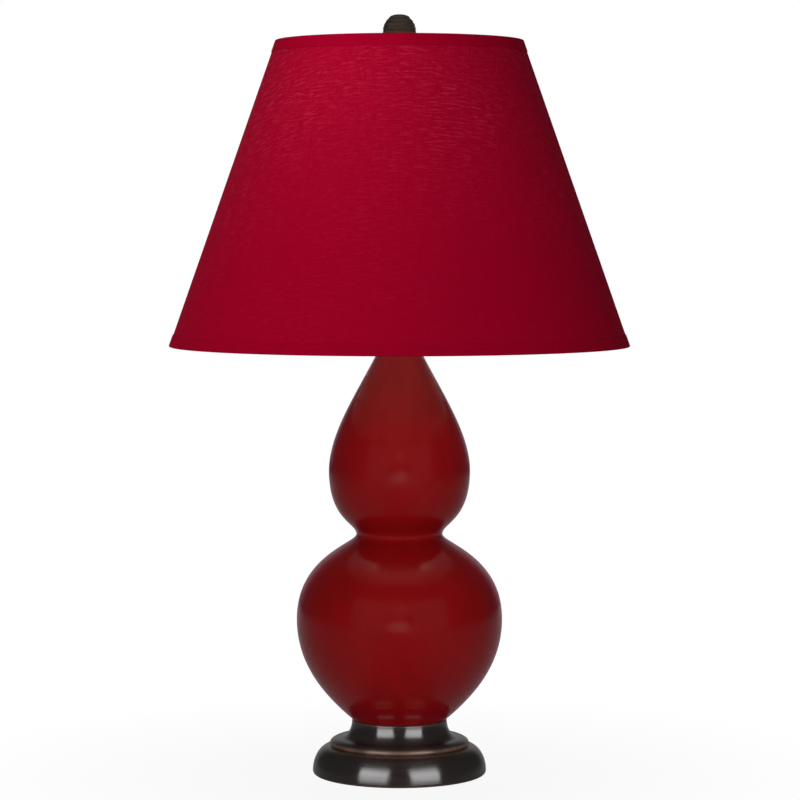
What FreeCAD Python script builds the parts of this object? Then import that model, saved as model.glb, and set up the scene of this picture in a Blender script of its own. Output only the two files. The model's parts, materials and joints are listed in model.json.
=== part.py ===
"""A table lamp: a double gourd in glazed ceramic on a turned bronze base, under a tapered fabric shade.

Millimetres, +Z up. The origin is on the table, under the lamp's axis, and -Y is the front.
Every piece is drawn where it sits and is written to parts/NAME.step.
"""

import FreeCAD, Part
import math
import os
from FreeCAD import Vector

# Felt pad and cast base
PAD_INSET = 5.5  # from the foot's widest line in to the pad's edge
PAD_THICK = 2.0
PAD_GAP = 0.5  # around the pad, in its recess
RIM_LIFT = 0.5  # the metal rim stays off the table
FOOT_RADIUS = 67.5
FOOT_ROUND = 2.3  # under the foot's widest line
DOME_TOP = 22.2
DOME_TOP_RADIUS = 53.8
GROOVE_DEPTH = 1.8  # groove between the dome and the bead
GROOVE_HEIGHT = 0.7
BEAD_RADIUS = 54.1
BEAD_LOWER = 1.6  # from the groove up to the bead's widest line
BEAD_UPPER = 4.2  # from there up to the bead's top
BEAD_TOP_RADIUS = 45.2
COLLAR_TOP = 42.6
COLLAR_RADIUS = 36.9
COLLAR_ROUND = 0.6
BASE_WALL = 4.5
PAD_LEDGE = 5.0  # width of the ledge that the pad is glued to
DECK_THICK = 4.1

# Cord inlet at the back of the base
INLET_HEIGHT = 9.0
INLET_BORE = 3.2
INLET_BARREL = 4.5
INLET_FLANGE = 5.9
INLET_FLANGE_THICK = 1.8
INLET_SUNK = 3.5  # the flat that is faced for the flange, in from the foot's widest line
INLET_LENGTH = 11.0  # the barrel, from the flat inwards
INLET_GAP = 0.1

# Threaded rod and what it clamps
ROD_RADIUS = 4.8
ROD_BORE = 3.2
ROD_BELOW = 4.6  # below the nut
ROD_ABOVE = 1.0  # above the socket cap's hub
ROD_GAP = 0.4  # around the rod in plain holes
THREAD_GAP = 0.05  # around the rod in tapped holes
WASHER_RADIUS = 16.0
WASHER_THICK = 1.6
LOCK_RADIUS = 8.2
LOCK_THICK = 1.5
LOCK_SPLIT = 1.2
NUT_FLATS = 14.0
NUT_THICK = 4.8
RING_INNER = 22.0
RING_OUTER = 30.5
RING_THICK = 1.4
RING_SUNK = 1.0  # the rubber ring's depth in the casting
RING_GAP = 0.5

# Ceramic gourd: each point is where its side runs upright, and each reach is a curve's pull there
FOOT_EDGE_RADIUS = 36.3
FOOT_LEAN = 49.6  # degrees outward from upright
FOOT_REACH = 34.6
BELLY_RADIUS = 79.85
BELLY_RISE = 78.5  # above the gourd's foot
BELLY_REACH_DOWN = 31.7
BELLY_REACH_UP = 48.4
WAIST_RADIUS = 33.4
WAIST_RISE = 65.9  # above the belly
WAIST_REACH_DOWN = 7.4
WAIST_REACH_UP = 8.9
BULB_RADIUS = 54.7
BULB_RISE = 49.1  # above the waist
BULB_REACH_DOWN = 38.2
BULB_REACH_UP = 30.7
NECK_RADIUS = 14.9
NECK_RISE = 96.5  # above the upper bulb
NECK_LEAN = 25.9  # degrees inward from upright
NECK_REACH = 38.1
GOURD_WALL = 6.0
GOURD_FLOOR = 7.0
GOURD_HOLE = 6.5

# Cap, ring and tube on the gourd's neck
CAP_WALL = 0.9
CAP_SKIRT = 2.3
CAP_GAP = 0.3
CAP_THICK = 5.0
CAP_ROUND = 3.5
CHECK_RADIUS = 12.0
CHECK_THICK = 2.5
CHECK_ROUND = 0.8
TUBE_RADIUS = 7.0
TUBE_LENGTH = 14.5

# Harp: saddle, wire, seat and the two sleeves that lock it
SADDLE_HALF = 29.0  # from the axis to each leg's centre
SADDLE_THICK = 1.5
SADDLE_WIDTH = 12.0
SADDLE_TIP_WIDTH = 6.0
SADDLE_BEND = 3.0
SADDLE_RISE = 5.0
SADDLE_WAIST = 12.0  # half length of the full width
WIRE_RADIUS = 1.7
LAP_BELOW = 2.0  # round post under the lap
LAP_LENGTH = 10.0
LEG_LENGTH = 26.0  # straight wire above the lap
HARP_HALF = 52.0
HARP_WIDEST = 67.0  # above the straight legs
HARP_CROWN = 88.0  # above the widest line
CROWN_BEND = 34.0
SLEEVE_RADIUS = 3.6
SLEEVE_LENGTH = 20.0
SLEEVE_GAP = 0.1
SEAT_BOSS = 5.0
SEAT_BELOW = 1.8  # boss under the wire
SEAT_ABOVE = 0.3  # boss over the wire
SEAT_DISC = 10.0
SEAT_DISC_THICK = 1.5
SEAT_GAP = 0.05
STUD_RADIUS = 3.17
STUD_LENGTH = 13.5

# Lampholder
HUB_RADIUS = 7.5
HUB_HEIGHT = 6.7
HUB_STEP = 5.5  # the bell springs from here
BELL_RADIUS = 17.0
BELL_RISE = 9.0
BELL_RIM = 8.0
BELL_WALL = 0.9
HUB_SCREW = 1.5
HUB_SCREW_OUT = 2.6
HUB_SCREW_RISE = 3.0
SHELL_RADIUS = 16.0
SHELL_WALL = 0.6
SHELL_SUNK = 6.5  # inside the bell's rim
SHELL_LENGTH = 45.5
SHELL_CURL = 0.9
LINER_GAP = 0.1
LINER_WALL = 0.3
LINER_SHORT = 1.0  # below the shell's top and above its foot
BODY_RADIUS = 14.6
BODY_HEIGHT = 19.5
BODY_FLAT = 11.4  # side flats for the terminals
BODY_FLAT_HEIGHT = 13.0
SCREW_SHELL_RADIUS = 13.8
SCREW_SHELL_WALL = 0.5
SCREW_SHELL_HEIGHT = 23.0
CONTACT_RADIUS = 4.0
CONTACT_THICK = 1.4
TERMINAL_RADIUS = 3.2
TERMINAL_THICK = 2.6
TERMINAL_SLOT = 0.8
STEM_RADIUS = 1.6
STEM_GAP = 0.1
STEM_INNER = 6.2  # from the axis
STEM_RISE = 11.5  # above the lampholder's foot
SLOT_RADIUS = 2.6
KNOB_CLEAR = 1.6  # in front of the bell
KNOB_LENGTH = 11.5
KNOB_WIDTH = 12.0
KNOB_THICK = 3.4

# Bulb
TIP_GAP = 0.3
TIP_RADIUS = 4.0
TIP_THICK = 1.4
INSULATOR_THICK = 3.0
INSULATOR_RADIUS = 10.0
INSULATOR_TIP = 5.0
BULB_CAP_GAP = 0.25
BULB_CAP_WALL = 0.5
BULB_CAP_TAPER = 2.8
BULB_CAP_HEIGHT = 20.8
GLASS_WALL = 0.8
GLASS_SUNK = 14.0
GLASS_GAP = 0.1
GLASS_RADIUS = 33.4
GLASS_RISE = 72.0  # from the bulb cap's rim to the widest line
GLASS_REACH_LOW = 30.0
GLASS_REACH_HIGH = 32.0

# Shade
SHADE_TOP_RADIUS = 95.5
SHADE_FOOT_RADIUS = 178.2
SHADE_HEIGHT = 235.0
SHADE_DROP = 20.0  # from the finial's tip down to the shade's top edge
HEM_HEIGHT = 9.0
HEM_TURN_IN = 6.0
HEM_THICK = 0.5
FABRIC_THICK = 0.45
GLUE_GAP = 0.05  # between the shade's glued layers
STYRENE_THICK = 0.4
SEAM_ANGLE = 4.0  # degrees of the overlap at the back
SEAM_THICK = 0.3
RING_WIRE = 1.5
RING_INSET = 3.0  # from the shade's edge to the ring's centre
FITTER_HUB = 14.0
FITTER_HUB_THICK = 1.9
FITTER_SINK = 3.0  # how far an arm's blank reaches into the hub before its end is coped
FITTER_GAP = 0.1  # under the hub
WELD_GAP = 0.05
STUD_GAP = 0.08

# Finial
FINIAL_HEIGHT = 29.9
FINIAL_GAP = 0.1
FINIAL_FLANGE = 7.0
FINIAL_FLANGE_THICK = 1.6
FINIAL_NECK = 4.8
FINIAL_NECK_HEIGHT = 2.2
HIVE_RADIUS = 12.8
HIVE_RINGS = 7
HIVE_PITCH = 3.1
HIVE_GROOVE = 0.8
HIVE_HALF = 13.2  # the beehive's half height, were it whole
HIVE_MIDDLE = 13.0  # its widest line, below the tip
TIP_CLEAR = 1.0  # over the stud in the finial's bore

# Places that follow from the sizes above
fabric_inset = HEM_THICK + GLUE_GAP
liner_inset = fabric_inset + FABRIC_THICK + GLUE_GAP
turned_inset = liner_inset + STYRENE_THICK + GLUE_GAP  # the hem's turned-in half
pad_radius = FOOT_RADIUS - PAD_INSET
pad_recess = pad_radius + PAD_GAP
inlet_seat = FOOT_RADIUS - INLET_SUNK
gourd_foot = COLLAR_TOP - RING_SUNK + RING_THICK
deck_under = COLLAR_TOP - DECK_THICK
washer_under = deck_under - WASHER_THICK
lock_under = washer_under - LOCK_THICK
nut_under = lock_under - NUT_THICK
belly_height = gourd_foot + BELLY_RISE
waist_height = belly_height + WAIST_RISE
bulb_height = waist_height + BULB_RISE
neck_height = bulb_height + NECK_RISE
cap_top = neck_height + CAP_THICK
check_top = cap_top + CHECK_THICK
saddle_under = check_top + TUBE_LENGTH
saddle_top = saddle_under + SADDLE_THICK
leg_shoulder = saddle_under + SADDLE_RISE
lap_foot = leg_shoulder + LAP_BELOW
lap_top = lap_foot + LAP_LENGTH
leg_top = lap_top + LEG_LENGTH
harp_widest = leg_top + HARP_WIDEST
harp_crown = harp_widest + HARP_CROWN
hub_top = saddle_top + HUB_HEIGHT
bell_edge = saddle_top + HUB_STEP + BELL_RISE
bell_top = bell_edge + BELL_RIM
shell_foot = bell_top - SHELL_SUNK
shell_top = shell_foot + SHELL_LENGTH
body_top = shell_foot + BODY_HEIGHT
stem_height = shell_foot + STEM_RISE
tip_foot = body_top + CONTACT_THICK + TIP_GAP
tip_top = tip_foot + TIP_THICK
insulator_top = tip_top + INSULATOR_THICK
bulb_cap_top = insulator_top + BULB_CAP_HEIGHT
glass_foot = bulb_cap_top - GLASS_SUNK
glass_widest = bulb_cap_top + GLASS_RISE
seat_under = harp_crown + WIRE_RADIUS + SEAT_ABOVE
seat_top = seat_under + SEAT_DISC_THICK
stud_top = seat_top + STUD_LENGTH
hub_under = seat_top + FITTER_GAP
fitter_top = hub_under + FITTER_HUB_THICK
finial_foot = fitter_top + FINIAL_GAP
finial_tip = finial_foot + FINIAL_HEIGHT
shade_top = finial_tip - SHADE_DROP
shade_foot = shade_top - SHADE_HEIGHT

AXIS = Vector(0, 0, 1)
ORIGIN = Vector(0, 0, 0)


class Outline:
    """A closed outline in the half plane of radius and height, drawn stretch by stretch."""

    def __init__(self, radius, height):
        self.first = Vector(radius, 0, height)
        self.last = self.first
        self.edges = []

    def add(self, curve, end):
        self.edges.append(curve.toShape())
        self.last = end
        return self

    def line(self, radius, height):
        end = Vector(radius, 0, height)
        return self.add(Part.LineSegment(self.last, end), end)

    def arc(self, middle_radius, middle_height, radius, height):
        """A circular arc through a middle point."""
        end = Vector(radius, 0, height)
        middle = Vector(middle_radius, 0, middle_height)
        return self.add(Part.Arc(self.last, middle, end), end)

    def curve(self, first_pull, second_pull, radius, height):
        """A cubic curve: each pull is a (radius, height) step from its own end."""
        end = Vector(radius, 0, height)
        out = self.last + Vector(first_pull[0], 0, first_pull[1])
        back = end + Vector(second_pull[0], 0, second_pull[1])
        cubic = Part.BezierCurve()
        cubic.setPoles([self.last, out, back, end])
        return self.add(cubic, end)

    def quarter(self, radius, height, level_first):
        """A quarter of a circle or ellipse, which sets off level or upright."""
        end = Vector(radius, 0, height)
        if level_first:
            corner = Vector(end.x, 0, self.last.z)
        else:
            corner = Vector(self.last.x, 0, end.z)
        centre = self.last + end - corner
        if math.isclose(abs(end.x - self.last.x), abs(end.z - self.last.z)):
            middle = centre + (corner - centre) * math.sqrt(0.5)
            return self.add(Part.Arc(self.last, middle, end), end)
        bend = 4 / 3 * (math.sqrt(2) - 1)
        out = (corner - self.last) * bend
        back = (corner - end) * bend
        return self.curve((out.x, out.z), (back.x, back.z), radius, height)

    def turned(self, angle=360, start=0):
        """The solid that the outline sweeps round the axis."""
        if self.last.distanceToPoint(self.first) > 1e-6:
            self.line(self.first.x, self.first.z)
        face = Part.Face(Part.Wire(self.edges))
        solid = face.revolve(ORIGIN, AXIS, angle)
        solid.rotate(ORIGIN, AXIS, start)
        return solid


def tube(inner, outer, foot, top):
    """A plain ring round the axis."""
    height = top - foot
    place = Vector(0, 0, foot)
    return Part.makeCylinder(outer, height, place).cut(Part.makeCylinder(inner, height, place))


def bar(radius, start, end):
    """A round bar between two points."""
    run = end - start
    return Part.makeCylinder(radius, run.Length, start, run)


def box(low, high):
    """A block between two opposite corners."""
    size = high - low
    return Part.makeBox(size.x, size.y, size.z, low)


def shade_radius(height):
    """The shade's outer radius at a height."""
    taper = (SHADE_FOOT_RADIUS - SHADE_TOP_RADIUS) / SHADE_HEIGHT
    return SHADE_TOP_RADIUS + (shade_top - height) * taper


def shade_layer(inset, thick, foot, top):
    """One conical layer of the shade, set in from its outer face."""
    layer = Outline(shade_radius(foot) - inset, foot)
    layer.line(shade_radius(top) - inset, top)
    layer.line(shade_radius(top) - inset - thick, top)
    layer.line(shade_radius(foot) - inset - thick, foot)
    return layer


# ---------------------------------------------------------------- base


def felt_pad():
    return Part.makeCylinder(pad_radius, PAD_THICK)


def base_casting():
    """The hollow turned casting, with its foot, dome, bead and hollow collar."""
    groove_radius = DOME_TOP_RADIUS - GROOVE_DEPTH
    bead_foot = DOME_TOP + GROOVE_HEIGHT
    bead_widest = bead_foot + BEAD_LOWER
    bead_top = bead_widest + BEAD_UPPER
    hollow_neck = COLLAR_RADIUS - BASE_WALL
    hollow_foot = pad_recess - PAD_LEDGE

    side = Outline(pad_recess, RIM_LIFT)
    side.line(FOOT_RADIUS - FOOT_ROUND, RIM_LIFT)
    side.quarter(FOOT_RADIUS, RIM_LIFT + FOOT_ROUND, level_first=True)
    side.quarter(DOME_TOP_RADIUS, DOME_TOP, level_first=False)
    side.line(groove_radius, DOME_TOP)
    side.line(groove_radius, bead_foot)
    side.quarter(BEAD_RADIUS, bead_widest, level_first=True)
    side.quarter(BEAD_TOP_RADIUS, bead_top, level_first=False)
    side.quarter(COLLAR_RADIUS, COLLAR_TOP - COLLAR_ROUND, level_first=True)
    side.quarter(COLLAR_RADIUS - COLLAR_ROUND, COLLAR_TOP, level_first=False)
    side.line(RING_OUTER + RING_GAP, COLLAR_TOP)
    side.line(RING_OUTER + RING_GAP, COLLAR_TOP - RING_SUNK)
    side.line(ROD_RADIUS + ROD_GAP, COLLAR_TOP - RING_SUNK)
    side.line(ROD_RADIUS + ROD_GAP, deck_under)
    side.line(hollow_neck, deck_under)
    side.line(hollow_neck, bead_top - BASE_WALL)
    side.line(DOME_TOP_RADIUS - BASE_WALL, DOME_TOP - BASE_WALL)
    side.quarter(hollow_foot, PAD_THICK + FOOT_ROUND, level_first=True)
    side.line(hollow_foot, PAD_THICK)
    side.line(pad_recess, PAD_THICK)
    casting = side.turned()

    centre = Vector(0, 0, INLET_HEIGHT)
    seat = centre + Vector(0, inlet_seat, 0)
    hole = bar(INLET_BARREL + INLET_GAP, centre + Vector(0, RING_OUTER, 0), seat)
    flat = bar(INLET_FLANGE + INLET_GAP, seat, centre + Vector(0, 2 * FOOT_RADIUS, 0))
    return casting.cut(hole).cut(flat)


def cord_bushing():
    """The flanged inlet for the cord, through the casting's back wall."""
    centre = Vector(0, 0, INLET_HEIGHT)
    seat = centre + Vector(0, inlet_seat, 0)
    inner = seat - Vector(0, INLET_LENGTH, 0)
    outer = seat + Vector(0, INLET_FLANGE_THICK, 0)
    barrel = bar(INLET_BARREL, inner, seat)
    flange = bar(INLET_FLANGE, seat, outer)
    return barrel.fuse(flange).cut(bar(INLET_BORE, inner, outer)).removeSplitter()


def seating_ring():
    """The rubber ring that the ceramic stands on."""
    foot = COLLAR_TOP - RING_SUNK
    return tube(RING_INNER, RING_OUTER, foot, foot + RING_THICK)


# ---------------------------------------------------------------- rod and its hardware


def threaded_rod():
    return tube(ROD_BORE, ROD_RADIUS, nut_under - ROD_BELOW, hub_top + ROD_ABOVE)


def flat_washer():
    return tube(ROD_RADIUS + ROD_GAP, WASHER_RADIUS, washer_under, deck_under)


def lock_washer():
    """A split spring washer."""
    ring = tube(ROD_RADIUS + ROD_GAP, LOCK_RADIUS, lock_under, washer_under)
    split = box(Vector(0, -LOCK_SPLIT / 2, lock_under), Vector(LOCK_RADIUS, LOCK_SPLIT / 2, washer_under))
    return ring.cut(split)


def rod_nut():
    """A hexagon nut, tapped for the rod."""
    across_corners = NUT_FLATS / math.cos(math.radians(30))
    corners = []
    for side in range(7):
        angle = math.radians(60 * side)
        corners.append(Vector(math.cos(angle), math.sin(angle), 0) * (across_corners / 2))
    hexagon = Part.Face(Part.makePolygon(corners))
    hexagon.translate(Vector(0, 0, nut_under))
    blank = hexagon.extrude(Vector(0, 0, NUT_THICK))
    bore = Part.makeCylinder(ROD_RADIUS + THREAD_GAP, NUT_THICK, Vector(0, 0, nut_under))
    return blank.cut(bore)


# ---------------------------------------------------------------- gourd


def gourd_side(outline, inset, foot_rise):
    """Draw the gourd's side from foot to neck, its upright points moved in by the wall."""
    lean = math.radians(FOOT_LEAN)
    close = math.radians(NECK_LEAN)
    belly = (BELLY_RADIUS - inset) / BELLY_RADIUS
    bulb = (BULB_RADIUS - inset) / BULB_RADIUS
    foot_pull = FOOT_REACH * belly - foot_rise / math.cos(lean)
    outline.curve(
        (foot_pull * math.sin(lean), foot_pull * math.cos(lean)),
        (0, -BELLY_REACH_DOWN * belly),
        BELLY_RADIUS - inset,
        belly_height,
    )
    outline.curve(
        (0, BELLY_REACH_UP * belly),
        (0, -WAIST_REACH_DOWN - inset),
        WAIST_RADIUS - inset,
        waist_height,
    )
    outline.curve(
        (0, WAIST_REACH_UP + inset),
        (0, -BULB_REACH_DOWN * bulb),
        BULB_RADIUS - inset,
        bulb_height,
    )
    outline.curve(
        (0, BULB_REACH_UP * bulb),
        (NECK_REACH * math.sin(close), -NECK_REACH * math.cos(close)),
        NECK_RADIUS - inset / math.cos(close),
        neck_height,
    )
    return outline


def gourd_body():
    """The hollow ceramic body, open at the neck and holed in the floor."""
    lean = math.radians(FOOT_LEAN)
    outside = gourd_side(Outline(FOOT_EDGE_RADIUS, gourd_foot), 0, 0)
    outside.line(0, neck_height)
    outside.line(0, gourd_foot)
    inner_foot = FOOT_EDGE_RADIUS + GOURD_FLOOR * math.tan(lean) - GOURD_WALL / math.cos(lean)
    inside = gourd_side(Outline(inner_foot, gourd_foot + GOURD_FLOOR), GOURD_WALL, GOURD_FLOOR)
    inside.line(0, neck_height)
    inside.line(0, gourd_foot + GOURD_FLOOR)
    hole = Part.makeCylinder(GOURD_HOLE, GOURD_FLOOR, Vector(0, 0, gourd_foot))
    return outside.turned().cut(inside.turned()).cut(hole)


def vase_cap():
    """The turned cap that covers the neck's rim."""
    bore = ROD_RADIUS + ROD_GAP
    skirt = NECK_RADIUS + CAP_SKIRT * math.tan(math.radians(NECK_LEAN)) + CAP_GAP
    edge = skirt + CAP_WALL
    side = Outline(bore, neck_height)
    side.line(skirt, neck_height)
    side.line(skirt, neck_height - CAP_SKIRT)
    side.line(edge, neck_height - CAP_SKIRT)
    side.line(edge, cap_top - CAP_ROUND)
    side.quarter(edge - CAP_ROUND, cap_top, level_first=False)
    side.line(bore, cap_top)
    return side.turned()


def check_ring():
    """The small turned ring between the cap and the tube."""
    bore = ROD_RADIUS + ROD_GAP
    side = Outline(bore, cap_top)
    side.line(CHECK_RADIUS, cap_top)
    side.line(CHECK_RADIUS, check_top - CHECK_ROUND)
    side.quarter(CHECK_RADIUS - CHECK_ROUND, check_top, level_first=False)
    side.line(bore, check_top)
    return side.turned()


def neck_tube():
    return tube(ROD_RADIUS + ROD_GAP, TUBE_RADIUS, check_top, saddle_under)


# ---------------------------------------------------------------- harp


def harp_saddle():
    """The bent strip that carries the harp, with a half-round lap on each upturned end."""
    outer = SADDLE_HALF + SADDLE_THICK / 2
    bend = SADDLE_BEND + SADDLE_THICK
    half = Outline(0, saddle_under)
    half.line(outer - bend, saddle_under)
    half.quarter(outer, saddle_under + bend, level_first=True)
    half.line(outer, leg_shoulder)
    half.line(outer - SADDLE_THICK, leg_shoulder)
    half.line(outer - SADDLE_THICK, saddle_under + bend)
    half.quarter(outer - bend, saddle_top, level_first=False)
    half.line(0, saddle_top)
    half.line(0, saddle_under)
    bent = Part.Face(Part.Wire(half.edges)).extrude(Vector(0, SADDLE_WIDTH, 0))
    bent.translate(Vector(0, -SADDLE_WIDTH / 2, 0))
    plan = [
        Vector(0, SADDLE_WIDTH / 2, saddle_under),
        Vector(SADDLE_WAIST, SADDLE_WIDTH / 2, saddle_under),
        Vector(outer, SADDLE_TIP_WIDTH / 2, saddle_under),
        Vector(outer, -SADDLE_TIP_WIDTH / 2, saddle_under),
        Vector(SADDLE_WAIST, -SADDLE_WIDTH / 2, saddle_under),
        Vector(0, -SADDLE_WIDTH / 2, saddle_under),
        Vector(0, SADDLE_WIDTH / 2, saddle_under),
    ]
    taper = Part.Face(Part.makePolygon(plan)).extrude(Vector(0, 0, SADDLE_RISE))
    arm = bent.common(taper)
    centre = Vector(SADDLE_HALF, 0, 0)
    post = bar(WIRE_RADIUS, centre + AXIS * (leg_shoulder - LAP_BELOW), centre + AXIS * lap_top)
    rear = box(
        Vector(SADDLE_HALF - WIRE_RADIUS, 0, lap_foot),
        Vector(SADDLE_HALF + WIRE_RADIUS, WIRE_RADIUS, lap_top),
    )
    arm = arm.fuse(post.cut(rear))
    other = arm.mirror(ORIGIN, Vector(1, 0, 0))
    bore = Part.makeCylinder(ROD_RADIUS + ROD_GAP, SADDLE_THICK, Vector(0, 0, saddle_under))
    return arm.fuse(other).cut(bore).removeSplitter()


def harp_path():
    """The wire's centre line: two legs, two reverse bends and a crown of three arcs."""
    crown_centre = HARP_CROWN - CROWN_BEND
    side_bend = (HARP_HALF**2 + crown_centre**2 - CROWN_BEND**2) / (2 * (HARP_HALF - CROWN_BEND))
    side_centre = Vector(HARP_HALF - side_bend, 0, harp_widest)
    top_centre = Vector(0, 0, harp_crown - CROWN_BEND)
    towards = (top_centre - side_centre).normalize()
    meet = top_centre + towards * CROWN_BEND
    spread = math.atan2(meet.z - side_centre.z, meet.x - side_centre.x) / 2
    side_middle = side_centre + Vector(math.cos(spread), 0, math.sin(spread)) * side_bend
    step = (HARP_HALF - SADDLE_HALF) / 2
    rise = HARP_WIDEST / 2
    swing = (step**2 + rise**2) / (2 * step)
    half_turn = math.asin(rise / swing) / 2
    nudge = swing * (1 - math.cos(half_turn))
    climb = swing * math.sin(half_turn)
    leg_foot = Vector(SADDLE_HALF, 0, lap_top)
    leg_end = Vector(SADDLE_HALF, 0, leg_top)
    reverse = Vector(SADDLE_HALF + step, 0, leg_top + rise)
    widest = Vector(HARP_HALF, 0, harp_widest)
    right = [
        Part.LineSegment(leg_foot, leg_end),
        Part.Arc(leg_end, leg_end + Vector(nudge, 0, climb), reverse),
        Part.Arc(reverse, widest - Vector(nudge, 0, climb), widest),
        Part.Arc(widest, side_middle, meet),
        Part.Arc(meet, Vector(0, 0, harp_crown), Vector(-meet.x, 0, meet.z)),
    ]
    edges = [curve.toShape() for curve in right]
    left = [edge.mirror(ORIGIN, Vector(1, 0, 0)) for edge in edges[:-1]]
    return Part.Wire(Part.__sortEdges__(edges + left))


def harp_pipe(radius):
    """A round bar of the given radius along the harp's centre line."""
    section = Part.Circle(Vector(SADDLE_HALF, 0, lap_top), AXIS, radius)
    return harp_path().makePipeShell([Part.Wire(section.toShape())], True, False)


def harp_wire():
    """The sprung wire, each leg halved at its foot to lap the saddle's post."""
    wire = harp_pipe(WIRE_RADIUS)
    for side in (-1, 1):
        centre = Vector(side * SADDLE_HALF, 0, 0)
        lap = bar(WIRE_RADIUS, centre + AXIS * lap_foot, centre + AXIS * lap_top)
        front = box(
            Vector(centre.x - WIRE_RADIUS, -WIRE_RADIUS, lap_foot),
            Vector(centre.x + WIRE_RADIUS, 0, lap_top),
        )
        wire = wire.fuse(lap.cut(front))
    return wire.removeSplitter()


def harp_seat():
    """The boss on the crown, with the shade's seat and its stud."""
    boss_foot = harp_crown - WIRE_RADIUS - SEAT_BELOW
    boss = Part.makeCylinder(SEAT_BOSS, seat_under - boss_foot, Vector(0, 0, boss_foot))
    disc = Part.makeCylinder(SEAT_DISC, SEAT_DISC_THICK, Vector(0, 0, seat_under))
    stud = Part.makeCylinder(STUD_RADIUS, STUD_LENGTH, Vector(0, 0, seat_top))
    return boss.cut(harp_pipe(WIRE_RADIUS + SEAT_GAP)).fuse(disc).fuse(stud).removeSplitter()


def harp_sleeve(side):
    """A loose sleeve that locks one leg to its post."""
    foot = leg_shoulder + SLEEVE_GAP
    sleeve = tube(WIRE_RADIUS + SLEEVE_GAP, SLEEVE_RADIUS, foot, foot + SLEEVE_LENGTH)
    sleeve.translate(Vector(side * SADDLE_HALF, 0, 0))
    return sleeve


# ---------------------------------------------------------------- lampholder


def socket_cap():
    """The bell-shaped lower cap, with its tapped hub."""
    bore = ROD_RADIUS + THREAD_GAP
    inner = BELL_RADIUS - BELL_WALL
    side = Outline(bore, saddle_top)
    side.line(HUB_RADIUS, saddle_top)
    side.line(HUB_RADIUS, saddle_top + HUB_STEP)
    side.quarter(BELL_RADIUS, bell_edge, level_first=True)
    side.line(BELL_RADIUS, bell_top)
    side.line(inner, bell_top)
    side.line(inner, bell_edge)
    side.quarter(HUB_RADIUS, hub_top, level_first=False)
    side.line(bore, hub_top)
    centre = Vector(0, 0, saddle_top + HUB_SCREW_RISE)
    hole = bar(HUB_SCREW + THREAD_GAP, centre, centre + Vector(0, 2 * HUB_RADIUS, 0))
    return side.turned().cut(hole)


def socket_set_screw():
    """The screw that stops the cap from turning on the rod."""
    centre = Vector(0, 0, saddle_top + HUB_SCREW_RISE)
    tip = centre + Vector(0, ROD_RADIUS + THREAD_GAP, 0)
    end = centre + Vector(0, HUB_RADIUS + HUB_SCREW_OUT, 0)
    slot = box(
        end - Vector(HUB_SCREW, HUB_SCREW / 2, TERMINAL_SLOT / 2),
        end + Vector(HUB_SCREW, 0, TERMINAL_SLOT / 2),
    )
    return bar(HUB_SCREW, tip, end).cut(slot)


def switch_slot(radius, foot):
    """The front slot that lets a sleeve slip over the switch's stem."""
    centre = Vector(0, 0, stem_height)
    round_end = bar(radius, centre, centre + Vector(0, -BELL_RADIUS, 0))
    straight = box(Vector(-radius, -BELL_RADIUS, foot), Vector(radius, 0, stem_height))
    return round_end.fuse(straight)


def socket_shell():
    """The metal outer shell, with a curled upper edge and a slot at its foot."""
    inner = SHELL_RADIUS - SHELL_WALL
    curl_foot = shell_top - 2 * SHELL_CURL
    side = Outline(inner, shell_foot)
    side.line(SHELL_RADIUS, shell_foot)
    side.line(SHELL_RADIUS, curl_foot)
    side.arc(SHELL_RADIUS + SHELL_CURL, curl_foot + SHELL_CURL, SHELL_RADIUS, shell_top)
    side.line(inner, shell_top)
    return side.turned().cut(switch_slot(SLOT_RADIUS, shell_foot))


def socket_liner():
    """The fibre insulating sleeve inside the shell."""
    outer = SHELL_RADIUS - SHELL_WALL - LINER_GAP
    foot = shell_foot + LINER_SHORT
    sleeve = tube(outer - LINER_WALL, outer, foot, shell_top - LINER_SHORT)
    return sleeve.cut(switch_slot(SLOT_RADIUS, foot))


def socket_body():
    """The moulded block that carries the contacts, with a flat on each side for a terminal."""
    block = Part.makeCylinder(BODY_RADIUS, BODY_HEIGHT, Vector(0, 0, shell_foot))
    flat_foot = shell_foot + (BODY_HEIGHT - BODY_FLAT_HEIGHT) / 2
    for side in (-1, 1):
        near = side * BODY_FLAT
        far = side * 2 * BODY_RADIUS
        block = block.cut(
            box(
                Vector(min(near, far), -BODY_RADIUS, flat_foot),
                Vector(max(near, far), BODY_RADIUS, flat_foot + BODY_FLAT_HEIGHT),
            )
        )
    centre = Vector(0, 0, stem_height)
    hole = bar(
        STEM_RADIUS + STEM_GAP,
        centre + Vector(0, -STEM_INNER + STEM_GAP, 0),
        centre + Vector(0, -2 * BODY_RADIUS, 0),
    )
    return block.cut(hole)


def terminal_screws():
    """A slotted screw head on each flat."""
    height = shell_foot + BODY_HEIGHT / 2
    heads = []
    for side in (-1, 1):
        seat = Vector(side * BODY_FLAT, 0, height)
        face = seat + Vector(side * TERMINAL_THICK, 0, 0)
        slot = box(
            face - Vector(TERMINAL_SLOT, TERMINAL_RADIUS, TERMINAL_SLOT / 2),
            face + Vector(TERMINAL_SLOT, TERMINAL_RADIUS, TERMINAL_SLOT / 2),
        )
        heads.append(bar(TERMINAL_RADIUS, seat, face).cut(slot))
    return Part.makeCompound(heads)


def screw_shell():
    """The metal thread sleeve that takes the bulb's cap."""
    inner = SCREW_SHELL_RADIUS - SCREW_SHELL_WALL
    return tube(inner, SCREW_SHELL_RADIUS, body_top, body_top + SCREW_SHELL_HEIGHT)


def centre_contact():
    return Part.makeCylinder(CONTACT_RADIUS, CONTACT_THICK, Vector(0, 0, body_top))


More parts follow.
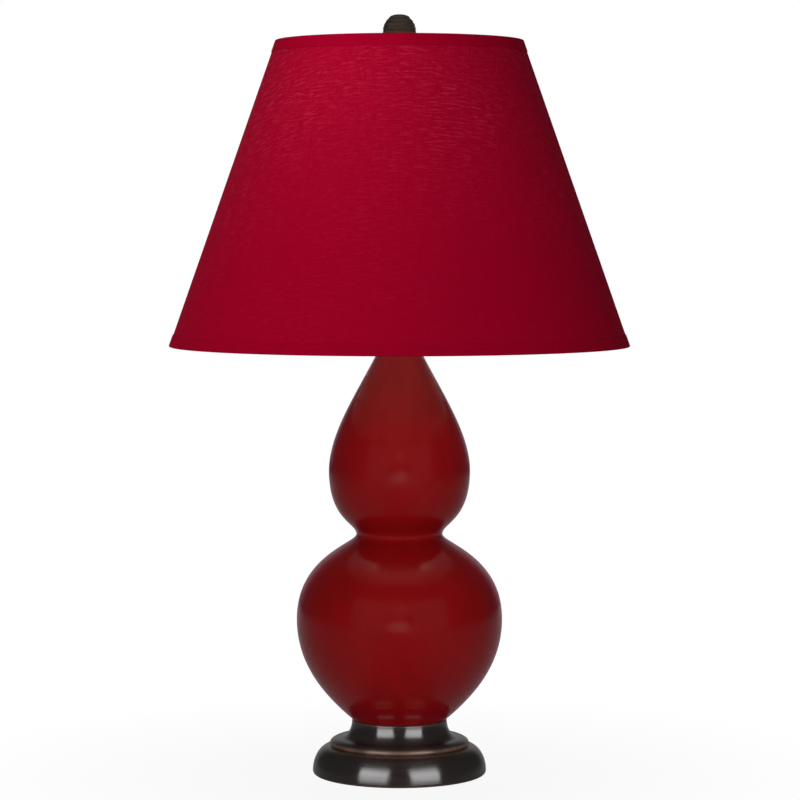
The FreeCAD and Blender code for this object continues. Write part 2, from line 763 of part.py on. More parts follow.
def switch_knob():
    """The turn switch: a stem and its flat, round-ended key."""
    centre = Vector(0, 0, stem_height)
    key_back = centre + Vector(0, -BELL_RADIUS - KNOB_CLEAR, 0)
    key_front = key_back + Vector(0, -KNOB_LENGTH, 0)
    stem = bar(STEM_RADIUS, centre + Vector(0, -STEM_INNER, 0), key_back)
    offset = Vector(KNOB_WIDTH / 2 - KNOB_THICK / 2, 0, 0)
    key = box(
        key_front - offset - AXIS * (KNOB_THICK / 2),
        key_back + offset + AXIS * (KNOB_THICK / 2),
    )
    for end in (-offset, offset):
        key = key.fuse(bar(KNOB_THICK / 2, key_back + end, key_front + end))
    return stem.fuse(key).removeSplitter()


# ---------------------------------------------------------------- bulb


def bulb_contact():
    return Part.makeCylinder(TIP_RADIUS, TIP_THICK, Vector(0, 0, tip_foot))


def bulb_insulator():
    """The dark glass cone between the tip and the cap."""
    return Part.makeCone(INSULATOR_TIP, INSULATOR_RADIUS, INSULATOR_THICK, Vector(0, 0, tip_top))


def bulb_cap_radius():
    return SCREW_SHELL_RADIUS - SCREW_SHELL_WALL - BULB_CAP_GAP


def bulb_cap():
    """The metal screw cap, a thin cup with a tapered foot."""
    outer = bulb_cap_radius()
    taper_top = insulator_top + BULB_CAP_TAPER
    floor = insulator_top + BULB_CAP_WALL
    side = Outline(0, insulator_top)
    side.line(INSULATOR_RADIUS, insulator_top)
    side.line(outer, taper_top)
    side.line(outer, bulb_cap_top)
    side.line(outer - BULB_CAP_WALL, bulb_cap_top)
    side.line(outer - BULB_CAP_WALL, taper_top)
    side.line(INSULATOR_RADIUS - BULB_CAP_WALL, floor)
    side.line(0, floor)
    return side.turned()


def bulb_glass():
    """The blown glass bulb, its neck cemented in the cap."""
    neck = bulb_cap_radius() - BULB_CAP_WALL - GLASS_GAP
    crown = glass_widest + GLASS_RADIUS
    side = Outline(neck, glass_foot)
    side.line(neck, bulb_cap_top)
    side.curve((0, GLASS_REACH_LOW), (0, -GLASS_REACH_HIGH), GLASS_RADIUS, glass_widest)
    side.quarter(0, crown, level_first=False)
    side.line(0, crown - GLASS_WALL)
    side.quarter(GLASS_RADIUS - GLASS_WALL, glass_widest, level_first=True)
    side.curve((0, -GLASS_REACH_HIGH), (0, GLASS_REACH_LOW), neck - GLASS_WALL, bulb_cap_top)
    side.line(neck - GLASS_WALL, glass_foot)
    return side.turned()


# ---------------------------------------------------------------- shade and finial


def ring_radius(height):
    """A wire ring's radius where it lies against the turned-in hem."""
    taper = math.atan2(SHADE_FOOT_RADIUS - SHADE_TOP_RADIUS, SHADE_HEIGHT)
    return shade_radius(height) - turned_inset - HEM_THICK - GLUE_GAP - RING_WIRE / math.cos(taper)


def wire_ring(height, grown=0):
    return Part.makeTorus(ring_radius(height), RING_WIRE + grown, Vector(0, 0, height))


def top_ring():
    return wire_ring(shade_top - RING_INSET)


def bottom_ring():
    return wire_ring(shade_foot + RING_INSET)


def fitter_hub():
    """The washer that the finial clamps on the harp's seat."""
    return tube(STUD_RADIUS + STUD_GAP, FITTER_HUB, hub_under, fitter_top)


def fitter_arm(degrees):
    """A rising arm, its ends coped to the hub's rim and to the upper wire ring."""
    ring_height = shade_top - RING_INSET
    hub_middle = (hub_under + fitter_top) / 2
    angle = math.radians(degrees)
    outward = Vector(math.cos(angle), math.sin(angle), 0)
    start = outward * (FITTER_HUB - FITTER_SINK) + AXIS * hub_middle
    end = outward * ring_radius(ring_height) + AXIS * ring_height
    rim = Part.makeCylinder(FITTER_HUB + WELD_GAP, 4 * RING_WIRE, Vector(0, 0, hub_middle - 2 * RING_WIRE))
    return bar(RING_WIRE, start, end).cut(rim).cut(wire_ring(ring_height, WELD_GAP))


def shade_fabric():
    """The cloth cone, with its lapped seam at the back."""
    foot = shade_foot + fabric_inset
    top = shade_top - fabric_inset
    cone = shade_layer(fabric_inset, FABRIC_THICK, foot, top).turned()
    seam = shade_layer(fabric_inset - SEAM_THICK, SEAM_THICK, foot + HEM_HEIGHT, top - HEM_HEIGHT)
    return cone.fuse(seam.turned(SEAM_ANGLE, 90 - SEAM_ANGLE / 2)).removeSplitter()


def shade_liner():
    """The stiff styrene cone that the cloth is laminated to."""
    foot = shade_foot + fabric_inset
    top = shade_top - fabric_inset
    return shade_layer(liner_inset, STYRENE_THICK, foot, top).turned()


def hem(edge, inward):
    """A cloth strip folded over one edge. Inward is +1 up from the foot and -1 down from the top."""
    outer_end = edge + inward * HEM_HEIGHT
    inner_end = edge + inward * HEM_TURN_IN
    fold = edge + inward * HEM_THICK
    side = Outline(shade_radius(edge), edge)
    side.line(shade_radius(outer_end), outer_end)
    side.line(shade_radius(outer_end) - HEM_THICK, outer_end)
    side.line(shade_radius(fold) - HEM_THICK, fold)
    side.line(shade_radius(fold) - turned_inset, fold)
    side.line(shade_radius(inner_end) - turned_inset, inner_end)
    side.line(shade_radius(inner_end) - turned_inset - HEM_THICK, inner_end)
    side.line(shade_radius(edge) - turned_inset - HEM_THICK, edge)
    return side.turned()


def hive_radius(depth):
    """The beehive's swell at a depth below the finial's tip."""
    share = (HIVE_MIDDLE - depth) / HIVE_HALF
    return HIVE_RADIUS * math.sqrt(1 - share * share)


def finial():
    """The turned beehive finial, bored for the stud."""
    bore = STUD_RADIUS + STUD_GAP
    flange_top = finial_foot + FINIAL_FLANGE_THICK
    neck_top = flange_top + FINIAL_NECK_HEIGHT
    hive_foot = finial_tip - HIVE_RINGS * HIVE_PITCH
    side = Outline(bore, finial_foot)
    side.line(FINIAL_FLANGE, finial_foot)
    side.line(FINIAL_FLANGE, flange_top)
    side.line(FINIAL_NECK, flange_top)
    side.line(FINIAL_NECK, neck_top)
    side.quarter(hive_radius(HIVE_RINGS * HIVE_PITCH) - HIVE_GROOVE, hive_foot, level_first=True)
    for ring in reversed(range(1, HIVE_RINGS)):
        middle = (ring + 0.5) * HIVE_PITCH
        top = ring * HIVE_PITCH
        side.arc(hive_radius(middle), finial_tip - middle, hive_radius(top) - HIVE_GROOVE, finial_tip - top)
    side.quarter(0, finial_tip, level_first=False)
    side.line(0, stud_top + TIP_CLEAR)
    side.line(bore, stud_top + TIP_CLEAR)
    return side.turned()


PIECES = {
    "felt_pad": felt_pad,
    "base_casting": base_casting,
    "cord_bushing": cord_bushing,
    "seating_ring": seating_ring,
    "threaded_rod": threaded_rod,
    "flat_washer": flat_washer,
    "lock_washer": lock_washer,
    "rod_nut": rod_nut,
    "gourd_body": gourd_body,
    "vase_cap": vase_cap,
    "check_ring": check_ring,
    "neck_tube": neck_tube,
    "harp_saddle": harp_saddle,
    "harp_wire": harp_wire,
    "harp_seat": harp_seat,
    "harp_sleeve_left": lambda: harp_sleeve(-1),
    "harp_sleeve_right": lambda: harp_sleeve(1),
    "socket_cap": socket_cap,
    "socket_set_screw": socket_set_screw,
    "socket_shell": socket_shell,
    "socket_liner": socket_liner,
    "socket_body": socket_body,
    "terminal_screws": terminal_screws,
    "screw_shell": screw_shell,
    "centre_contact": centre_contact,
    "switch_knob": switch_knob,
    "bulb_contact": bulb_contact,
    "bulb_insulator": bulb_insulator,
    "bulb_cap": bulb_cap,
    "bulb_glass": bulb_glass,
    "fitter_hub": fitter_hub,
    "fitter_arm_rear": lambda: fitter_arm(90),
    "fitter_arm_left": lambda: fitter_arm(210),
    "fitter_arm_right": lambda: fitter_arm(330),
    "top_ring": top_ring,
    "bottom_ring": bottom_ring,
    "shade_fabric": shade_fabric,
    "shade_liner": shade_liner,
    "top_hem": lambda: hem(shade_top, -1),
    "bottom_hem": lambda: hem(shade_foot, 1),
    "finial": finial,
}

os.makedirs("parts", exist_ok=True)
for name, make in PIECES.items():
    shape = make()
    shape.exportStep(f"parts/{name}.step")
    print(f"{name}: {len(shape.Solids)} solid, {shape.Volume / 1000:.2f} cm3, valid {shape.isValid()}")
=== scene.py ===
"""The looks of a double gourd table lamp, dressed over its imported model.

The scene is in metres, +Z up, -Y to the front; outlines and sizes of parts are in millimetres until they
become a surface. Each sub-assembly is a class that makes its own surfaces with numpy and dresses them,
and each finish is a small frozen class that makes one procedural material.
"""

import json
import logging
import math
from dataclasses import dataclass, field, replace
from enum import Enum

import bmesh
import bpy
import numpy as np
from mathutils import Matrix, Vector

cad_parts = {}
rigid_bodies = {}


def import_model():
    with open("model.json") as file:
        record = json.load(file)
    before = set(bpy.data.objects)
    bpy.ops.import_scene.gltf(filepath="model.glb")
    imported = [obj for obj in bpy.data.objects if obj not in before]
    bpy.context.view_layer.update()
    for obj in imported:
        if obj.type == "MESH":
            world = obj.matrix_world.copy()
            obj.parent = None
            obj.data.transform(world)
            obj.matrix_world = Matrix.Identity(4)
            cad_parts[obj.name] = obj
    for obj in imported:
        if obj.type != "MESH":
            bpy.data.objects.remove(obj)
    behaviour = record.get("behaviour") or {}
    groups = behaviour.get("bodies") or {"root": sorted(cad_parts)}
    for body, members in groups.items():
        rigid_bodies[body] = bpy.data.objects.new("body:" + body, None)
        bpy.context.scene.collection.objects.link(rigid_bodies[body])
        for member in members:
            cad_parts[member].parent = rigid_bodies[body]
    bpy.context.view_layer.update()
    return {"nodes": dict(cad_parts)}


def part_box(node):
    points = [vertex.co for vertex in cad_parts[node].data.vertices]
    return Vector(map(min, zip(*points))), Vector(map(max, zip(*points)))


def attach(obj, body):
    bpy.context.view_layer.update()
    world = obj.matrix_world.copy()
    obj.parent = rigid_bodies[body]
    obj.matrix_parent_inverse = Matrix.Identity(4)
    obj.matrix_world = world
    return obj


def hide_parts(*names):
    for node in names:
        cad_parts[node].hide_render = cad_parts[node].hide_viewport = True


log = logging.getLogger("lamp")

MM = 0.001
FULL_TURN = 2 * math.pi
Colour = tuple[float, float, float]
Point = tuple[float, float, float]


class Body(Enum):
    """The rigid bodies that pieces ride on."""

    STAND = "stand"
    SWITCH = "switch"
    BULB = "bulb"
    SHADE = "shade"
    FINIAL = "finial_body"
    SLEEVE_LEFT = "sleeve_left"
    SLEEVE_RIGHT = "sleeve_right"


class Spread(Enum):
    """What a pattern's coordinates follow."""

    BLOCK = "Object"
    SURFACE = "UV"


# ---------------------------------------------------------------- surfaces


class Outline:
    """An outline in the half plane of radius and height, gathered run by run, in millimetres."""

    def __init__(self, radius: float, height: float) -> None:
        """Start at a corner.

        Args:
            radius: distance from the axis.
            height: height above the table.
        """
        self.runs: list[np.ndarray] = [np.array([[radius, height]])]

    @property
    def last(self) -> np.ndarray:
        """The corner reached so far."""
        return self.runs[-1][-1]

    def line(self, radius: float, height: float, count: int = 1) -> "Outline":
        """Add a straight run: point = start + s (end - start), s in (0, 1].

        Args:
            radius: radius of the end.
            height: height of the end.
            count: how many points the run gets.

        Returns:
            The outline itself.
        """
        share = np.linspace(0, 1, count + 1)[1:, None]
        end = np.array([radius, height])
        self.runs.append(self.last + share * (end - self.last))
        return self

    def cubic(
        self,
        pull_out: tuple[float, float],
        pull_in: tuple[float, float],
        radius: float,
        height: float,
        count: int = 24,
    ) -> "Outline":
        """Add a cubic Bezier run: (1-s)^3 a + 3(1-s)^2 s b + 3(1-s) s^2 c + s^3 d.

        Args:
            pull_out: step from the start to the first handle b.
            pull_in: step from the end to the second handle c.
            radius: radius of the end d.
            height: height of the end d.
            count: how many points the run gets.

        Returns:
            The outline itself.
        """
        share = np.linspace(0, 1, count + 1)[1:, None]
        end = np.array([radius, height])
        first = self.last + np.array(pull_out)
        second = end + np.array(pull_in)
        rest = 1 - share
        self.runs.append(
            rest**3 * self.last
            + 3 * rest**2 * share * first
            + 3 * rest * share**2 * second
            + share**3 * end
        )
        return self

    def quarter(self, radius: float, height: float, level_first: bool, count: int = 10) -> "Outline":
        """Add a quarter ellipse: corner offset by (sin, cos) of an angle that runs over 90 degrees.

        Args:
            radius: radius of the end.
            height: height of the end.
            level_first: whether the run sets off level rather than upright.
            count: how many points the run gets.

        Returns:
            The outline itself.
        """
        angle = np.linspace(0, math.pi / 2, count + 1)[1:]
        along, across = np.sin(angle), 1 - np.cos(angle)
        step_r, step_z = radius - self.last[0], height - self.last[1]
        shares = (along, across) if level_first else (across, along)
        self.runs.append(self.last + np.stack([shares[0] * step_r, shares[1] * step_z], axis=1))
        return self

    def corner(
        self, radius: float, height: float, soft: float, above: bool, lead: int = 1, count: int = 4
    ) -> "Outline":
        """Run straight to an outer corner and round it off.

        Args:
            radius: the corner's radius.
            height: the corner's height.
            soft: the size of the rounding.
            above: whether it is the upper corner, reached upright, or the lower one, reached level.
            lead: how many points the straight run gets.
            count: how many points the rounding gets.

        Returns:
            The outline itself.
        """
        if above:
            return self.line(radius, height - soft, lead).quarter(radius - soft, height, False, count)
        return self.line(radius - soft, height, lead).quarter(radius, height + soft, True, count)

    def through(self, *corners: tuple[float, float]) -> "Outline":
        """Add a straight run to each corner in turn.

        Args:
            corners: radius and height of each.

        Returns:
            The outline itself.
        """
        for radius, height in corners:
            self.line(radius, height)
        return self

    def groove(self, height: float, width: float, depth: float, count: int = 8) -> "Outline":
        """Run upright to a round groove and through it: r - depth sin(pi s), z = height + width (s - 1/2).

        Args:
            height: the groove's middle.
            width: its width along the axis; negative where the outline runs down.
            depth: how far it is cut.
            count: how many points it gets.

        Returns:
            The outline itself.
        """
        radius = self.last[0]
        self.line(radius, height - width / 2)
        share = np.linspace(0, 1, count + 1)[1:]
        self.runs.append(
            np.stack([radius - depth * np.sin(math.pi * share), height + width * (share - 0.5)], axis=1)
        )
        return self

    def close(self) -> "Outline":
        """Run straight back to the first corner."""
        return self.line(*self.runs[0][0])

    @property
    def points(self) -> np.ndarray:
        """The whole outline as an array of radius and height, in metres."""
        return np.vstack(self.runs) * MM


@dataclass
class Surface:
    """Vertices and four-cornered faces that become one mesh."""

    vertices: np.ndarray
    faces: np.ndarray
    uv: np.ndarray | None = None
    wear: np.ndarray | None = None

    @staticmethod
    def grid(points: np.ndarray, wrap_rows: bool = False, wrap_columns: bool = False) -> "Surface":
        """Join a grid of points into faces: cell (i, j) uses the points i, i+1 by j, j+1.

        Args:
            points: array of rows by columns by 3.
            wrap_rows: whether the last row joins the first.
            wrap_columns: whether the last column joins the first.

        Returns:
            The surface, with its vertices in row order.
        """
        rows, columns = points.shape[:2]
        i = np.arange(rows if wrap_rows else rows - 1)[:, None]
        j = np.arange(columns if wrap_columns else columns - 1)[None, :]
        below, above = i * columns, (i + 1) % rows * columns
        here, there = j, (j + 1) % columns
        faces = np.stack([below + here, below + there, above + there, above + here], axis=-1)
        return Surface(points.reshape(-1, 3), faces.reshape(-1, 4))

    @staticmethod
    def turned(outline: np.ndarray, segments: int = 160) -> "Surface":
        """Turn an outline round the axis: (r, z) at turn t goes to (r cos t, r sin t, z).

        Args:
            outline: array of radius and height, in metres.
            segments: how many columns the surface gets.

        Returns:
            The turned surface.
        """
        turn = np.linspace(0, FULL_TURN, segments, endpoint=False)
        radius, height = outline[:, :1], outline[:, 1:]
        points = np.stack([radius * np.cos(turn), radius * np.sin(turn), height + 0 * turn], axis=-1)
        return Surface.grid(points, wrap_columns=True)

    @staticmethod
    def drill(radius: float, start: float, end: float, height: float, segments: int = 64) -> "Surface":
        """A closed cylinder that runs to the back at a height, to cut with, in millimetres."""
        side = Outline(0, start).through((radius, start), (radius, end), (0, end))
        return Surface.turned(side.points, segments).laid_back(height)

    @staticmethod
    def swept(
        path: np.ndarray, radii: np.ndarray | float, plane: Point, sides: int = 24, closed: bool = False
    ) -> "Surface":
        """Carry a circle along a path: p + r (cos a side + sin a plane), side = tangent x plane.

        Args:
            path: array of points on the centre line, in metres.
            radii: the section's radius at each point; zero closes an end.
            plane: a unit vector square to the path's plane.
            sides: points round the section.
            closed: whether the path joins its own start.

        Returns:
            The tube's surface.
        """
        if closed:
            tangent = np.roll(path, -1, axis=0) - np.roll(path, 1, axis=0)
        else:
            tangent = np.gradient(path, axis=0)
        tangent /= np.linalg.norm(tangent, axis=1, keepdims=True)
        across = np.cross(tangent, np.array(plane))
        across /= np.linalg.norm(across, axis=1, keepdims=True)
        upward = np.cross(across, tangent)
        angle = np.linspace(0, FULL_TURN, sides, endpoint=False)[:, None]
        radius = np.broadcast_to(radii, len(path))[:, None, None]
        ring = np.cos(angle) * across[:, None] + np.sin(angle) * upward[:, None]
        return Surface.grid(path[:, None] + radius * ring, wrap_rows=closed, wrap_columns=True)

    @staticmethod
    def lofted(sections: np.ndarray, start: np.ndarray, end: np.ndarray) -> "Surface":
        """Join closed sections in a row, and close both ends on a point.

        Args:
            sections: array of sections by points by 3.
            start: the point that closes the first section.
            end: the point that closes the last one.

        Returns:
            The closed surface.
        """
        count = sections.shape[1]
        first = np.broadcast_to(start, (1, count, 3))
        last = np.broadcast_to(end, (1, count, 3))
        return Surface.grid(np.concatenate([first, sections, last]), wrap_columns=True)

    @staticmethod
    def worn(outline: np.ndarray, segments: int = 160) -> "Surface":
        """Turn an outline and store its wear, from how sharply it bends outwards.

        Args:
            outline: closed array of radius and height, in metres.
            segments: how many columns the surface gets.

        Returns:
            The turned surface, its wear from 0 at a gentle bend to 1, in radians a millimetre.
        """
        gentle, worn_through, shortest = 0.25, 1.75, 0.05
        step = np.diff(outline, axis=0, append=outline[:1])
        heading = np.arctan2(step[:, 1], step[:, 0])
        bend = (heading - np.roll(heading, 1) + math.pi) % FULL_TURN - math.pi
        length = (np.hypot(*step.T) + np.hypot(*np.roll(step, 1, axis=0).T)) / (2 * MM)
        rate = np.maximum(bend, 0) / np.maximum(length, shortest)
        surface = Surface.turned(outline, segments)
        surface.wear = np.repeat(np.clip((rate - gentle) / (worn_through - gentle), 0, 1), segments)
        return surface

    def threaded(self, pitch: float, depth: float, foot: float, top: float, reach: float) -> "Surface":
        """Cut a thread into a turned surface: r - depth w (1 - cos(2 pi z / pitch - turn)) / 2.

        The weight w rises from 0 at foot to 1 half a pitch above it, and falls the same way to top. Only
        the points further out than reach are moved.

        Args:
            pitch: rise of the thread in one turn, in millimetres, as all the sizes here.
            depth: how deep it is cut.
            foot: where it starts.
            top: where it ends.
            reach: the radius past which a point belongs to the thread.

        Returns:
            The same surface, threaded.
        """
        x, y, z = self.vertices.T / MM
        radius = np.hypot(x, y)
        weight = np.clip((z - foot) / (pitch / 2), 0, 1) * np.clip((top - z) / (pitch / 2), 0, 1)
        cut = depth * weight * (1 - np.cos(FULL_TURN * z / pitch - np.arctan2(y, x))) / 2
        share = np.where(radius > reach, 1 - cut / np.maximum(radius, 1.0), 1.0)
        return replace(self, vertices=np.stack([x * share, y * share, z], axis=1) * MM)

    def laid_back(self, height: float) -> "Surface":
        """Tip a turned surface so that its axis runs to the back: (x, y, z) to (x, z, y + height)."""
        x, y, z = self.vertices.T
        return replace(self, vertices=np.stack([x, z, y + height * MM], axis=1))

    def joined(self, *others: "Surface") -> "Surface":
        """This surface and others as one.

        Args:
            others: what is added.

        Returns:
            One surface, without surface coordinates or wear.
        """
        parts = [self, *others]
        starts = np.cumsum([0] + [len(part.vertices) for part in parts[:-1]])
        return Surface(
            np.vstack([part.vertices for part in parts]),
            np.vstack([part.faces + start for part, start in zip(parts, starts)]),
        )

    def moved(self, x: float = 0.0, y: float = 0.0, z: float = 0.0) -> "Surface":
        """The same surface, shifted."""
        return replace(self, vertices=self.vertices + np.array([x, y, z]))

    def piece(self, name: str, sharp_degrees: float = 38.0) -> bpy.types.Object:
        """Make the mesh object: poles merged, faces outwards, smooth up to an angle.

        Args:
            name: the object's name.
            sharp_degrees: edges that turn further than this stay crisp.

        Returns:
            The linked object.
        """
        mesh = bpy.data.meshes.new(name)
        mesh.from_pydata(self.vertices.tolist(), [], self.faces.tolist())
        if self.uv is not None:
            corners = np.empty(len(mesh.loops), dtype=np.int32)
            mesh.loops.foreach_get("vertex_index", corners)
            layer = mesh.uv_layers.new(name="lay")
            layer.data.foreach_set("uv", self.uv[corners].astype(np.float32).ravel())
        if self.wear is not None:
            layer = mesh.attributes.new("wear", "FLOAT", "POINT")
            layer.data.foreach_set("value", self.wear.astype(np.float32))
        work = bmesh.new()
        work.from_mesh(mesh)
        bmesh.ops.remove_doubles(work, verts=work.verts, dist=1e-7)
        bmesh.ops.dissolve_degenerate(work, edges=work.edges, dist=1e-8)
        bmesh.ops.recalc_face_normals(work, faces=work.faces)
        work.to_mesh(mesh)
        work.free()
        mesh.shade_smooth()
        mesh.set_sharp_from_angle(angle=math.radians(sharp_degrees))
        made = bpy.data.objects.new(name, mesh)
        bpy.context.scene.collection.objects.link(made)
        return made


def carve(piece: bpy.types.Object, *tools: Surface, sharp_degrees: float = 35.0) -> None:
    """Cut closed surfaces out of a piece, exactly.

    Args:
        piece: the piece that is cut.
        tools: what is cut away.
        sharp_degrees: edges that turn further than this stay crisp afterwards.
    """
    for tool in tools:
        cutter = tool.piece("cutter")
        cut = piece.modifiers.new("cut", "BOOLEAN")
        cut.operation = "DIFFERENCE"
        cut.solver = "EXACT"
        cut.object = cutter
        with bpy.context.temp_override(object=piece, active_object=piece):
            bpy.ops.object.modifier_apply(modifier=cut.name)
        bpy.data.objects.remove(cutter)
    piece.data.set_sharp_from_angle(angle=math.radians(sharp_degrees))


def reach(node: str) -> tuple[float, float, float]:
    """A node's lowest and highest height and its furthest x, in millimetres.

    Args:
        node: the node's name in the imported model.

    Returns:
        The lowest height, the highest height and the furthest x.
    """
    low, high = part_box(node)
    return low.z / MM, high.z / MM, high.x / MM


def dress(
    piece: bpy.types.Object,
    finish: "Finish",
    body: Body,
    replaces: tuple[str, ...] = (),
) -> bpy.types.Object:
    """Give a new piece its looks and its place among the bodies, and report it.

    Args:
        piece: the new piece.
        finish: what it is finished in.
        body: the body that it rides on.
        replaces: the nodes that it stands for.

    Returns:
        The piece.
    """
    piece.data.materials.clear()
    piece.data.materials.append(finish.material())
    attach(piece, body.value)
    if replaces:
        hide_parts(*replaces)
    log.info("%s: %d faces on %s", piece.name, len(piece.data.polygons), body.value)
    return piece


# ---------------------------------------------------------------- materials


class Nodes:
    """A node tree while it is being put together."""

    def __init__(self, owner: bpy.types.Material | bpy.types.World) -> None:
        """Start from the owner's tree, emptied."""
        owner.use_nodes = True
        self.tree = owner.node_tree
        self.tree.nodes.clear()

    def fill(self, socket: bpy.types.NodeSocket, value: object) -> None:
        """Give an input socket what it gets.

        Args:
            socket: the input socket.
            value: another node's output, or a constant.
        """
        if isinstance(value, bpy.types.NodeSocket):
            self.tree.links.new(value, socket)
        else:
            socket.default_value = value

    def node(
        self, kind: str, sockets: dict[str | int, object] | None = None, **settings: object
    ) -> bpy.types.Node:
        """Add a node.

        Args:
            kind: its kind, without the prefix that all kinds share.
            sockets: what its input sockets get, a constant or another node's output.
            settings: its properties.

        Returns:
            The node.
        """
        made = self.tree.nodes.new("ShaderNode" + kind)
        for name, value in settings.items():
            setattr(made, name, value)
        for name, value in (sockets or {}).items():
            self.fill(made.inputs[name], value)
        return made

    def remap(
        self,
        source: bpy.types.NodeSocket,
        low: float,
        high: float,
        to_low: float,
        to_high: float | bpy.types.NodeSocket,
    ) -> bpy.types.NodeSocket:
        """Carry one range of a number onto another, clamped."""
        ends = {"From Min": low, "From Max": high, "To Min": to_low, "To Max": to_high}
        return self.node("MapRange", {"Value": source, **ends}).outputs["Result"]

    def combine(
        self, operation: str, first: bpy.types.NodeSocket, second: bpy.types.NodeSocket | float
    ) -> bpy.types.NodeSocket:
        """One arithmetic step on two numbers."""
        return self.node("Math", {0: first, 1: second}, operation=operation).outputs[0]

    def total(self, *terms: tuple[bpy.types.NodeSocket, float]) -> bpy.types.NodeSocket:
        """A weighted sum of numbers.

        Args:
            terms: each number and its weight.

        Returns:
            The sum.
        """
        result = None
        for term, weight in terms:
            weighed = term if weight == 1 else self.combine("MULTIPLY", term, weight)
            result = weighed if result is None else self.combine("ADD", result, weighed)
        return result

    def either(
        self, share: bpy.types.NodeSocket, first: bpy.types.NodeSocket, second: bpy.types.NodeSocket
    ) -> bpy.types.NodeSocket:
        """Mix two shaders by a number."""
        return self.node("MixShader", {"Fac": share, 1: first, 2: second}).outputs["Shader"]


class Shader(Nodes):
    """One node material while it is being put together."""

    def __init__(self, name: str) -> None:
        """Start with a Principled shader on the output."""
        self.material = bpy.data.materials.new(name)
        super().__init__(self.material)
        self.principled = self.node("BsdfPrincipled")
        self.output = self.node("OutputMaterial", {"Surface": self.principled.outputs["BSDF"]})

    def set(self, **values: object) -> None:
        """Fill the shader's own sockets; an underscore stands for a space."""
        for name, value in values.items():
            self.fill(self.principled.inputs[name.replace("_", " ")], value)

    def place(self, spread: Spread, scale: Point = (1.0, 1.0, 1.0)) -> bpy.types.NodeSocket:
        """Coordinates that follow the block or the surface, stretched by scale."""
        source = self.node("TexCoord").outputs[spread.value]
        return self.node("Mapping", {"Scale": scale, "Vector": source}).outputs["Vector"]

    def noise(
        self,
        where: bpy.types.NodeSocket,
        scale: float,
        detail: float = 4.0,
        roughness: float = 0.55,
        distortion: float = 0.0,
    ) -> bpy.types.NodeSocket:
        """Fractal noise as one number about 0.5."""
        looks = {"Scale": scale, "Detail": detail, "Roughness": roughness, "Distortion": distortion}
        return self.node("TexNoise", {"Vector": where, **looks}).outputs["Fac"]

    def wave(self, where: bpy.types.NodeSocket, scale: float, direction: str) -> bpy.types.NodeSocket:
        """A sine band pattern as one number from 0 to 1."""
        bands = {"wave_type": "BANDS", "bands_direction": direction}
        return self.node("TexWave", {"Vector": where, "Scale": scale}, **bands).outputs["Fac"]

    def blend(self, share: bpy.types.NodeSocket, first: Colour, second: Colour) -> bpy.types.NodeSocket:
        """Mix two colours by a number.

        Args:
            share: the number.
            first: the colour at 0.
            second: the colour at 1.

        Returns:
            The mixed colour.
        """
        made = self.node("Mix", {"Factor": share}, data_type="RGBA")
        for name, colour in (("A", first), ("B", second)):
            socket = next(s for s in made.inputs if s.name == name and s.type == "RGBA")
            socket.default_value = (*colour, 1.0)
        return next(s for s in made.outputs if s.type == "RGBA")

    def tint(
        self,
        source: bpy.types.NodeSocket,
        low: float,
        high: float,
        first: Colour,
        second: Colour,
        most: float = 1.0,
    ) -> None:
        """Carry the base colour from first towards second as a number runs from low to high."""
        self.set(Base_Color=self.blend(self.remap(source, low, high, 0.0, most), first, second))

    def bump(self, height: bpy.types.NodeSocket, strength: float, depth: float) -> None:
        """Raise the surface by a height map, at most depth metres."""
        raised = self.node("Bump", {"Strength": strength, "Distance": depth, "Height": height})
        self.set(Normal=raised.outputs["Normal"])


@dataclass(frozen=True)
class Finish:
    """A named finish that makes its material once and then reuses it."""

    name: str

    def material(self) -> bpy.types.Material:
        """The finish's material."""
        found = bpy.data.materials.get(self.name)
        if found is None:
            shader = Shader(self.name)
            self.make(shader)
            found = shader.material
        return found

    def make(self, shader: Shader) -> None:
        """Put the material together.

        Args:
            shader: the material's shader.
        """
        raise NotImplementedError


@dataclass(frozen=True)
class Glaze(Finish):
    """Deep red gloss glaze: soft mottling, streaks where it ran, a rippled skin and a crimson edge."""

    body: Colour = (0.226, 0.0030, 0.0042)
    pooled: Colour = (0.198, 0.0024, 0.0034)
    edge: Colour = (0.75, 0.05, 0.20)
    edge_share: float = 0.2
    roughness: float = 0.20
    smoothest: float = 0.14
    level: float = 0.24  # specular level
    ripple: float = 0.0004  # metres

    def make(self, shader: Shader) -> None:
        """Mottle the colour, vary the gloss and ripple the surface.

        Args:
            shader: the material's shader.
        """
        block = shader.place(Spread.BLOCK)
        cloud = shader.noise(block, 22.0, 5.0, 0.6)
        streak = shader.noise(shader.place(Spread.BLOCK, (1.0, 1.0, 0.22)), 95.0, 3.0, 0.5)
        shader.tint(shader.total((cloud, 0.7), (streak, 0.3)), 0.38, 0.64, self.pooled, self.body)
        shader.set(Roughness=shader.remap(cloud, 0.3, 0.7, self.smoothest, self.roughness))
        shader.set(IOR=1.5, Specular_IOR_Level=self.level)
        shader.set(Sheen_Weight=self.edge_share, Sheen_Roughness=0.3, Sheen_Tint=(*self.edge, 1.0))
        fine, broad = shader.noise(block, 260.0, 2.0), shader.noise(block, 48.0, 2.0)
        shader.bump(shader.total((fine, 1), (broad, 1)), 0.06, self.ripple)


